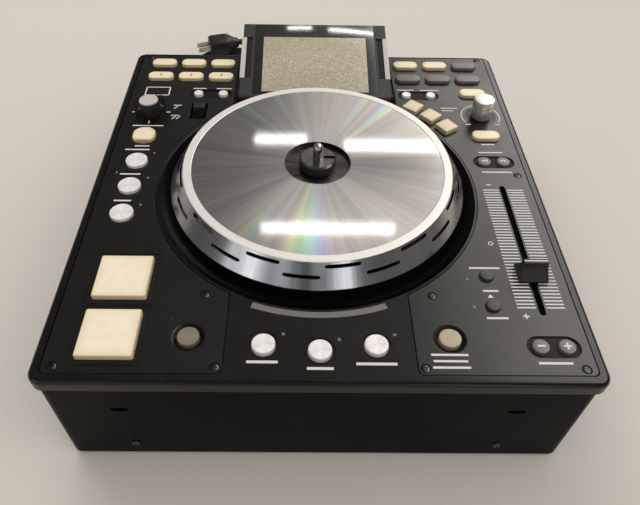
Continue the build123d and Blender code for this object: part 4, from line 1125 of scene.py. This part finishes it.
def makeDisplay():
    d = displaySize
    faceSlab("displayLens", d["lens"], *d["lensRise"], "lens", "screen")
    faceSlab("displayGlass", d["screen"], *d["glassRise"], "screen", "screen")
    g0, g1 = d["grip"]
    spacing = (g1 - g0 - 2 * d["ribMargin"]) / (d["ribs"] - 1)
    hx, hy, (low, high) = d["rib"]
    rib = boxMesh("rib", (-hx, -hy, low), (hx, hy, high), 0.0003)
    for side, tag in ((-1, "Left"), (1, "Right")):
        a, b = sorted(side * x for x in d["gripBar"])
        faceSlab("gripBar" + tag, (a, b, g0, g1), *d["barRise"], "grip", "dark_frame")
        places = []
        for k in range(d["ribs"]):
            place = onFace(side * d["ribPlace"], g0 + d["ribMargin"] + spacing * k, d["ribRise"])
            places.append((tuple(place), (d["slope"], 0.0, 0.0)))
        ribs = scatter("gripRibs" + tag, rib, places, "frame")
        shade(ribs, 40)
        settle(ribs, "display")
    discard(rib)
    print("display")


screwSize = {
    "head": (
        (0.0, 0.0), (0.00288, 0.0), (0.0029, 0.0001), (0.0028, 0.0007), (0.0023, 0.0011), (0.0012, 0.00129),
        (0.0, 0.0013),
    ),
    "cross": (0.0016, 0.00032),
    "deck": ((0.1645, -0.1692), (0.065, -0.1692), (0.0768, -0.1124), (0.1645, 0.0138), (0.1645, 0.192)),
    "front": (-0.1954, 0.1278),
    "side": (0.1761, (-0.11, 0.09)),
    "rear": (0.1804, 0.16),
    "low": 0.0185,
    "high": 0.084,
}


def screwPlaces():
    s = screwSize
    left = [(-x, y) for x, y in s["deck"]]
    places = [((x, axisY + y, deckZ - 0.001), (0, 0, 0)) for x, y in (*left, *s["deck"])]
    front, apart = s["front"]
    places += [((x, front, s["low"]), (math.pi / 2, 0, 0)) for x in (-apart, apart)]
    wall, depths = s["side"]
    for side in (-1, 1):
        for y in depths:
            for z in (s["low"], s["high"]):
                places.append(((side * wall, axisY + y, z), (0, side * math.pi / 2, 0)))
    rear, apart = s["rear"]
    for x, z in ((-apart, s["low"]), (apart, s["low"]), (0.0, s["high"])):
        places.append(((x, rear, z), (-math.pi / 2, 0, 0)))
    return places


def makeScrews():
    head = lathe("screwHead", screwSize["head"], 40, (0, 0))
    long, short = screwSize["cross"]
    cutters = []
    for x, y in ((long, short), (short, long)):
        cutters.append(boxMesh("cross", (-x, -y, 0.0005), (x, y, 0.002)))
        cutAway(head, cutters[-1])
    head = bake(head, "screwHeadCut")
    discard(*cutters)
    shade(head, 30)
    localAttribute(head, (0, 0, 0))
    places = screwPlaces()
    screws = scatter("caseScrews", head, places, "screw", roll=1.5, seed=11)
    discard(head)
    settle(screws, "case", ["case_screws"])
    print("screws", len(places))


markSize = {
    "low": 0.00001,
    "high": 0.00006,
    "ticks": 41,
    "tickStep": 0.00294,
    "tickTop": -0.004,
    "tickApart": 0.0098,
    "tickLong": 0.0126,
    "tickWide": 0.0011,
    "line": 0.0011,
    "sign": (0.005, 0.0013),
    "arrows": (-0.0014, 0.0012),
    "numberHeight": 0.0062,
    "label": 0.62,  # printed height of a bar that stands for a name, as a share of the name's
}


# a printed mark: rows of points across it, given a hair of thickness
def inkSlab(outline, base=deckZ):
    rows = [[(x, axisY + y, base + z) for x, y in outline] for z in (markSize["low"], markSize["high"])]
    o = loft("mark", rows)
    paint(o, "ink")
    return o


def bar(x, y, length, width, turn=0.0):
    c, s = math.cos(turn), math.sin(turn)
    corners = rectangle(-length / 2, length / 2, -width / 2, width / 2)
    return [(x + a * c - b * s, y + a * s + b * c) for a, b in corners]


def cross(x, y, length, width):
    a, b = length / 2, width / 2
    quarter = [(a, -b), (a, b), (b, b)]
    corners = []
    for k in range(4):
        c, s = round(math.cos(k * math.pi / 2)), round(math.sin(k * math.pi / 2))
        corners += [(x + u * c - v * s, y + u * s + v * c) for u, v in quarter]
    return corners


def bandSlab(x, y, radius, width, start, end, steps):
    low, high = deckZ + markSize["low"], deckZ + markSize["high"]
    section = rectangle(radius - width / 2, radius + width / 2, low, high)
    rows = []
    for k in range(steps + 1):
        a = math.radians(start + (end - start) * k / steps)
        rows.append([(x + r * math.cos(a), axisY + y + r * math.sin(a), z) for r, z in section])
    o = loft("mark", rows)
    paint(o, "ink")
    return o


def arrow(x, y, side):
    corners = ((-side * 0.0012, -0.0017), (side * 0.0012, 0.0), (-side * 0.0012, 0.0017))
    return [(x + u, y + v) for u, v in corners]


# x, y, length and height of each bar
labels = (
    (-0.151, 0.0429, 0.0205, 0.0026), (-0.151, 0.0111, 0.0165, 0.0026), (-0.151, -0.0205, 0.0135, 0.0026),
    (-0.148, 0.0768, 0.027, 0.0022), (-0.148, 0.0478, 0.0125, 0.0024), (-0.036, -0.1653, 0.0195, 0.0032),
    (0.0, -0.1697, 0.0165, 0.0032), (0.035, -0.1662, 0.0255, 0.0032), (0.0812, -0.1592, 0.0235, 0.0026),
    (0.0812, -0.1638, 0.0215, 0.0026), (0.0812, -0.1684, 0.0235, 0.0026), (0.1465, -0.1648, 0.0215, 0.0028),
    (column, 0.0437, 0.0205, 0.0022), (column, 0.018, 0.0245, 0.0024), (column, 0.0548, 0.0115, 0.0024),
    (0.1172, -0.0868, 0.0215, 0.0026), (0.1175, -0.1075, 0.0105, 0.0026), (0.1175, -0.1305, 0.0145, 0.0026),
    (-0.109, 0.1365, 0.0125, 0.0022), (-0.0861, 0.1365, 0.0145, 0.0022), (0.0861, 0.1375, 0.0165, 0.0022),
    (0.109, 0.1375, 0.0175, 0.0022), (0.1235, 0.1085, 0.0155, 0.0018), (0.1215, 0.1045, 0.0105, 0.0018),
)


def panelMarks():
    wide = markSize["line"]
    upright = math.pi / 2
    # minus and plus at the ends of the fader
    outlines = [bar(column - 0.0103, 0.0022, 0.004, wide), cross(column - 0.0118, -0.1288, 0.0042, wide)]
    # ticks of the tempo scale and of the select knob
    for x, y, turn in ((-0.1638, 0.0975, 0.0), (-0.1331, 0.0975, 0.0), (-0.148, 0.0822, upright)):
        outlines.append(bar(x, y, 0.0042, 0.0014, turn))
    outlines += [bar(x, 0.0838, 0.0052, 0.0013) for x in (0.1365, 0.1633)]
    # plain bars where each control would be named
    outlines += [bar(x, y, length, height * markSize["label"]) for x, y, length, height in labels]
    # signs beside the lever
    for y, legs in ((0.1085, (-0.001,)), (0.0925, (-0.001, 0.003))):
        outlines.append(bar(-0.1262, y, 0.0075, wide))
        outlines += [bar(-0.1262 + leg, y - 0.0033, 0.0052, wide, 0.9) for leg in legs]
    # empty name plate outline at the back left
    outlines += [bar(-0.148, y, 0.022, 0.0012) for y in (0.1378, 0.1248)]
    outlines += [bar(x, 0.1313, 0.013, 0.0012, upright) for x in (-0.159, -0.137)]
    # little triangle between the two small buttons
    outlines.append([(0.1142, -0.1135), (0.1186, -0.1135), (0.1164, -0.1105)])
    parts = [inkSlab(outline) for outline in outlines]
    # zero beside the fader, and the arcs round the two knobs
    parts.append(bandSlab(column - 0.0218, -0.0627, 0.0016, 0.0007, 0, 360, 20))
    x, y = knobSize["tempoPlace"]
    parts += [bandSlab(x, y, 0.0137, 0.0009, start, end, 12) for start, end in ((22, 66), (125, 158))]
    x, y = knobSize["selectPlace"]
    parts += [bandSlab(x, y, 0.0172, 0.0009, start, end, 28) for start, end in ((106, 212), (-32, 74))]
    settle(join("panelMarks", parts), "case")


def makeMarks():
    m = markSize
    x, y = m["tickLong"] / 2, m["tickWide"] / 2
    tick = boxMesh("tick", (-x, -y, m["low"]), (x, y, m["high"]))
    places = []
    for k in range(m["ticks"]):
        for side in (-1, 1):
            place = (column + side * m["tickApart"], axisY + m["tickTop"] - k * m["tickStep"], deckZ)
            places.append((place, (0, 0, 0)))
    settle(scatter("faderTicks", tick, places, "ink"), "case")
    discard(tick)
    panelMarks()
    signs = {}
    for way, shape in (("down", bar), ("up", cross)):
        node = f"bend_{way}_button"
        signs[node] = [shape(*pairPlaces[node], *m["sign"])]
    for side, way in ((-1, "back"), (1, "forward")):
        node = f"search_{way}_button"
        x, y = pairPlaces[node]
        signs[node] = [arrow(x + shift * side, y, side) for shift in m["arrows"]]
    top = deckZ + capSize["pair"]["rise"] + 0.0002
    for node, outlines in signs.items():
        settle(join(node + "Sign", [inkSlab(outline, top) for outline in outlines]), node)
    # plain numbers on the three lower left pads
    for number, x in ((3, inner2), (2, inner1), (1, column)):
        curve = bpy.data.curves.new("number", "FONT")
        curve.body = str(number)
        curve.size = m["numberHeight"]
        curve.align_x = "CENTER"
        curve.align_y = "CENTER"
        curve.extrude = 0.00003
        curve.resolution_u = 6
        made = bake(addObject("number", curve), f"padNumber{number}")
        place = (-x, axisY + padRows["lower"], deckZ + capSize["pad"]["rise"] + 0.00022)
        made.data.transform(Matrix.Translation(place))
        paint(made, "blackShadeAndPrint")
        settle(made, f"left_lower_pad_{number}")
    print("printed marks")


socketSize = {
    "shell": (
        (0.0032, 0.0), (0.0041, 0.0), (0.00418, 0.0002), (0.00418, 0.009), (0.004, 0.0092), (0.0033, 0.0092),
        (0.0032, 0.009),
    ),
    "collar": (
        (0.0, 0.0), (0.0064, 0.0), (0.00645, 0.0002), (0.00645, 0.0013), (0.0062, 0.0015), (0.0, 0.0015),
    ),
    "boreShade": ((0.0, 0.0091), (0.0033, 0.0091), (0.0033, 0.0093), (0.0, 0.0093)),
    "columns": (-0.02, 0.002, 0.042, 0.064),
    "rows": (0.05, 0.066),
    "rear": 0.1798,
}


def makeSockets():
    s = socketSize
    shell = lathe("socketShell", s["shell"], 40, (0, 0), closed=True)
    collar = lathe("socketCollar", s["collar"], 40, (0, 0))
    boreShade = lathe("socketBore", s["boreShade"], 32, (0, 0))  # a black disc painted as the shade inside the open end of a socket
    low, high = s["rows"]
    groups = (
        ("Shells", shell, "socket", (low, high)),
        ("Bores", boreShade, "blackShadeAndPrint", (low, high)),
        ("CollarsWhite", collar, "knobTop", (high,)),
        ("CollarsRed", collar, "redCollar", (low,)),
    )
    for tag, item, material, heights in groups:
        places = [((x, s["rear"], z), (-math.pi / 2, 0, 0)) for x in s["columns"] for z in heights]
        made = scatter("socket" + tag, item, places, material)
        shade(made, 35)
        settle(made, "case")
    discard(shell, collar, boreShade)
    print("sockets")


leadSize = {
    "radius": 0.0035,
    "coil": (-0.104, 0.314),
    # radius and height of each turn: three wide and two high
    "turns": (
        (0.046, 0.004), (0.039, 0.0041), (0.032, 0.0042),
        (0.0325, 0.0111), (0.0392, 0.0112), (0.0459, 0.0112),
    ),
    "steps": 16,
    "lastSteps": 13,
    "waver": 0.00012,
    "out": (
        (-0.058, 0.2084, 0.015), (-0.0576, 0.2264, 0.0136), (-0.0578, 0.2449, 0.0053),
        (-0.0581, 0.2682, 0.004), (-0.0579, 0.2914, 0.004),
    ),
    "back": (
        (-0.0926, 0.2692, 0.011), (-0.0664, 0.2757, 0.0126), (-0.0414, 0.2858, 0.0145),
        (-0.0275, 0.3072, 0.0165), (-0.0284, 0.3327, 0.019), (-0.0437, 0.3531, 0.022),
        (-0.0695, 0.3612, 0.0246), (-0.095, 0.3537, 0.0255),
    ),
}
tieSize = {
    "outline": (0.0216, 0.0148, 0.0036),
    "place": (0, -0.039, 0.0076),
    "rows": ((-0.0037, 1.0), (-0.0034, 1.006), (0.0034, 1.006), (0.0037, 1.0)),
}
plugSize = {
    "rows": (  # distance along the plug, width and height
        (0.0, 0.0072, 0.0072), (0.0008, 0.0106, 0.0106), (0.005, 0.0124, 0.0116), (0.0095, 0.0186, 0.0164),
        (0.014, 0.0248, 0.0212), (0.019, 0.0258, 0.0218), (0.028, 0.0258, 0.0218), (0.0345, 0.0256, 0.0216),
        (0.0368, 0.0248, 0.0208), (0.0378, 0.0228, 0.0188),
    ),
    "along": (-0.954, -0.3, 0),
    "corner": 0.36,
    "blade": (0.00075, 0.00315, 0.0158),
    "bladeFoot": 0.0377,
    "bladeApart": 0.00635,
}


# six turns, each drifting to the next one's radius and height over its last quarter
def leadPoints():
    s = leadSize
    points = list(s["out"])
    for k in range(5 * s["steps"] + s["lastSteps"]):
        i, share = k // s["steps"], (k % s["steps"]) / s["steps"]
        (r0, z0), (r1, z1) = s["turns"][i], s["turns"][min(i + 1, 5)]
        t = max(0.0, (share - 0.72) / 0.28)
        t = t * t * (3 - 2 * t)
        r = r0 + (r1 - r0) * t + rng.uniform(-s["waver"], s["waver"])
        a = 2 * math.pi * share
        points.append((s["coil"][0] + r * math.cos(a), s["coil"][1] + r * math.sin(a), z0 + (z1 - z0) * t))
    return points + list(s["back"])


def makeLead():
    points = leadPoints()
    curve = bpy.data.curves.new("powerLead", "CURVE")
    curve.dimensions = "3D"
    curve.bevel_depth = leadSize["radius"]
    curve.bevel_resolution = 5
    curve.resolution_u = 5
    curve.use_fill_caps = True
    spline = curve.splines.new("NURBS")
    spline.points.add(len(points) - 1)
    for p, place in zip(spline.points, points):
        p.co = (*place, 1)
    spline.order_u = 3
    spline.use_endpoint_u = True
    lead = addObject("powerLead", curve)
    curve.materials.append(mats["cord"])
    settle(lead, "case", ["power_cord", "cord_coil"])
    makeTie()
    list(makePlug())


def makeTie():
    x0, y0, z0 = (a + b for a, b in zip((*leadSize["coil"], 0), tieSize["place"]))
    outline = roundedOutline(*tieSize["outline"], 6)
    rows = [[(x0 + x, y0 + y * grow, z0 + z * grow) for y, z in outline] for x, grow in tieSize["rows"]]
    o = loft("coilTie", rows, crisp=40)
    paint(o, "rubber")
    settle(o, "case")
    return o


def makePlug():
    p = plugSize
    end = Vector(leadSize["back"][-1])
    along = Vector(p["along"]).normalized()
    up = Vector((0, 0, 1))
    side = along.cross(up) * -1
    rows = []
    for distance, width, height in p["rows"]:
        outline = roundedOutline(width, height, min(width, height) * p["corner"], 5)
        rows.append([end + along * distance + side * a + up * b for a, b in outline])
    body = loft("plugBody", rows, crisp=42)
    x, y, length = p["blade"]
    blades = []
    for apart in (-p["bladeApart"], p["bladeApart"]):
        blade = boxMesh("plugBlade", (-x, -y, 0.0), (x, y, length), 0.0004)
        blade.data.transform(Matrix((side, up, along)).transposed().to_4x4())
        blade.data.transform(Matrix.Translation(end + along * p["bladeFoot"] + side * apart))
        blades.append(blade)
    blades = join("plugBlades", blades)
    shade(blades, 42)
    paint(body, "cord")
    paint(blades, "blade")
    settle(body, "case", ["power_plug"])
    settle(blades, "case")
    return body, blades


makePlatter()
makeHub()
makeCaps()
makeKnobs()
makeFader()
makeDisplay()
makeScrews()
makeMarks()
makeSockets()
makeLead()

cadFinish = {
    "top_case": "gloss",
    "control_panels": "panel",
    "lower_case": "satin",
    "rubber_feet": "rubber",
    "light_bar": "lightBar",
    "platter_motor": "motor",
    "circuit_boards": "board",
    "rear_sockets": "socketPlate",
    "platter": "platterFace",
    "drive_spindle": "spindle",
    "case_screws": "screw",
    "select_knob": "selectMetal",
}
sharedFinish = {
    "cord": ("strain_relief", "power_plug", "power_cord", "cord_coil"),
    "frame": ("display_frame", "display_screen"),
    "knob": ("power_switch", "lever_switch", "pitch_fader", "tempo_knob"),
}
for key, names in sharedFinish.items():
    cadFinish.update({name: key for name in names})


def dressCad(name, key):
    slots = nodes[name].material_slots
    for s in slots:
        s.material = mats[key]
    if not slots:
        nodes[name].data.materials.append(mats[key])


# the buttons are discs; the pads and keys left are grey caps
for name in nodes:
    dressCad(name, cadFinish.get(name, "disc" if "_button" in name else "greyCap"))
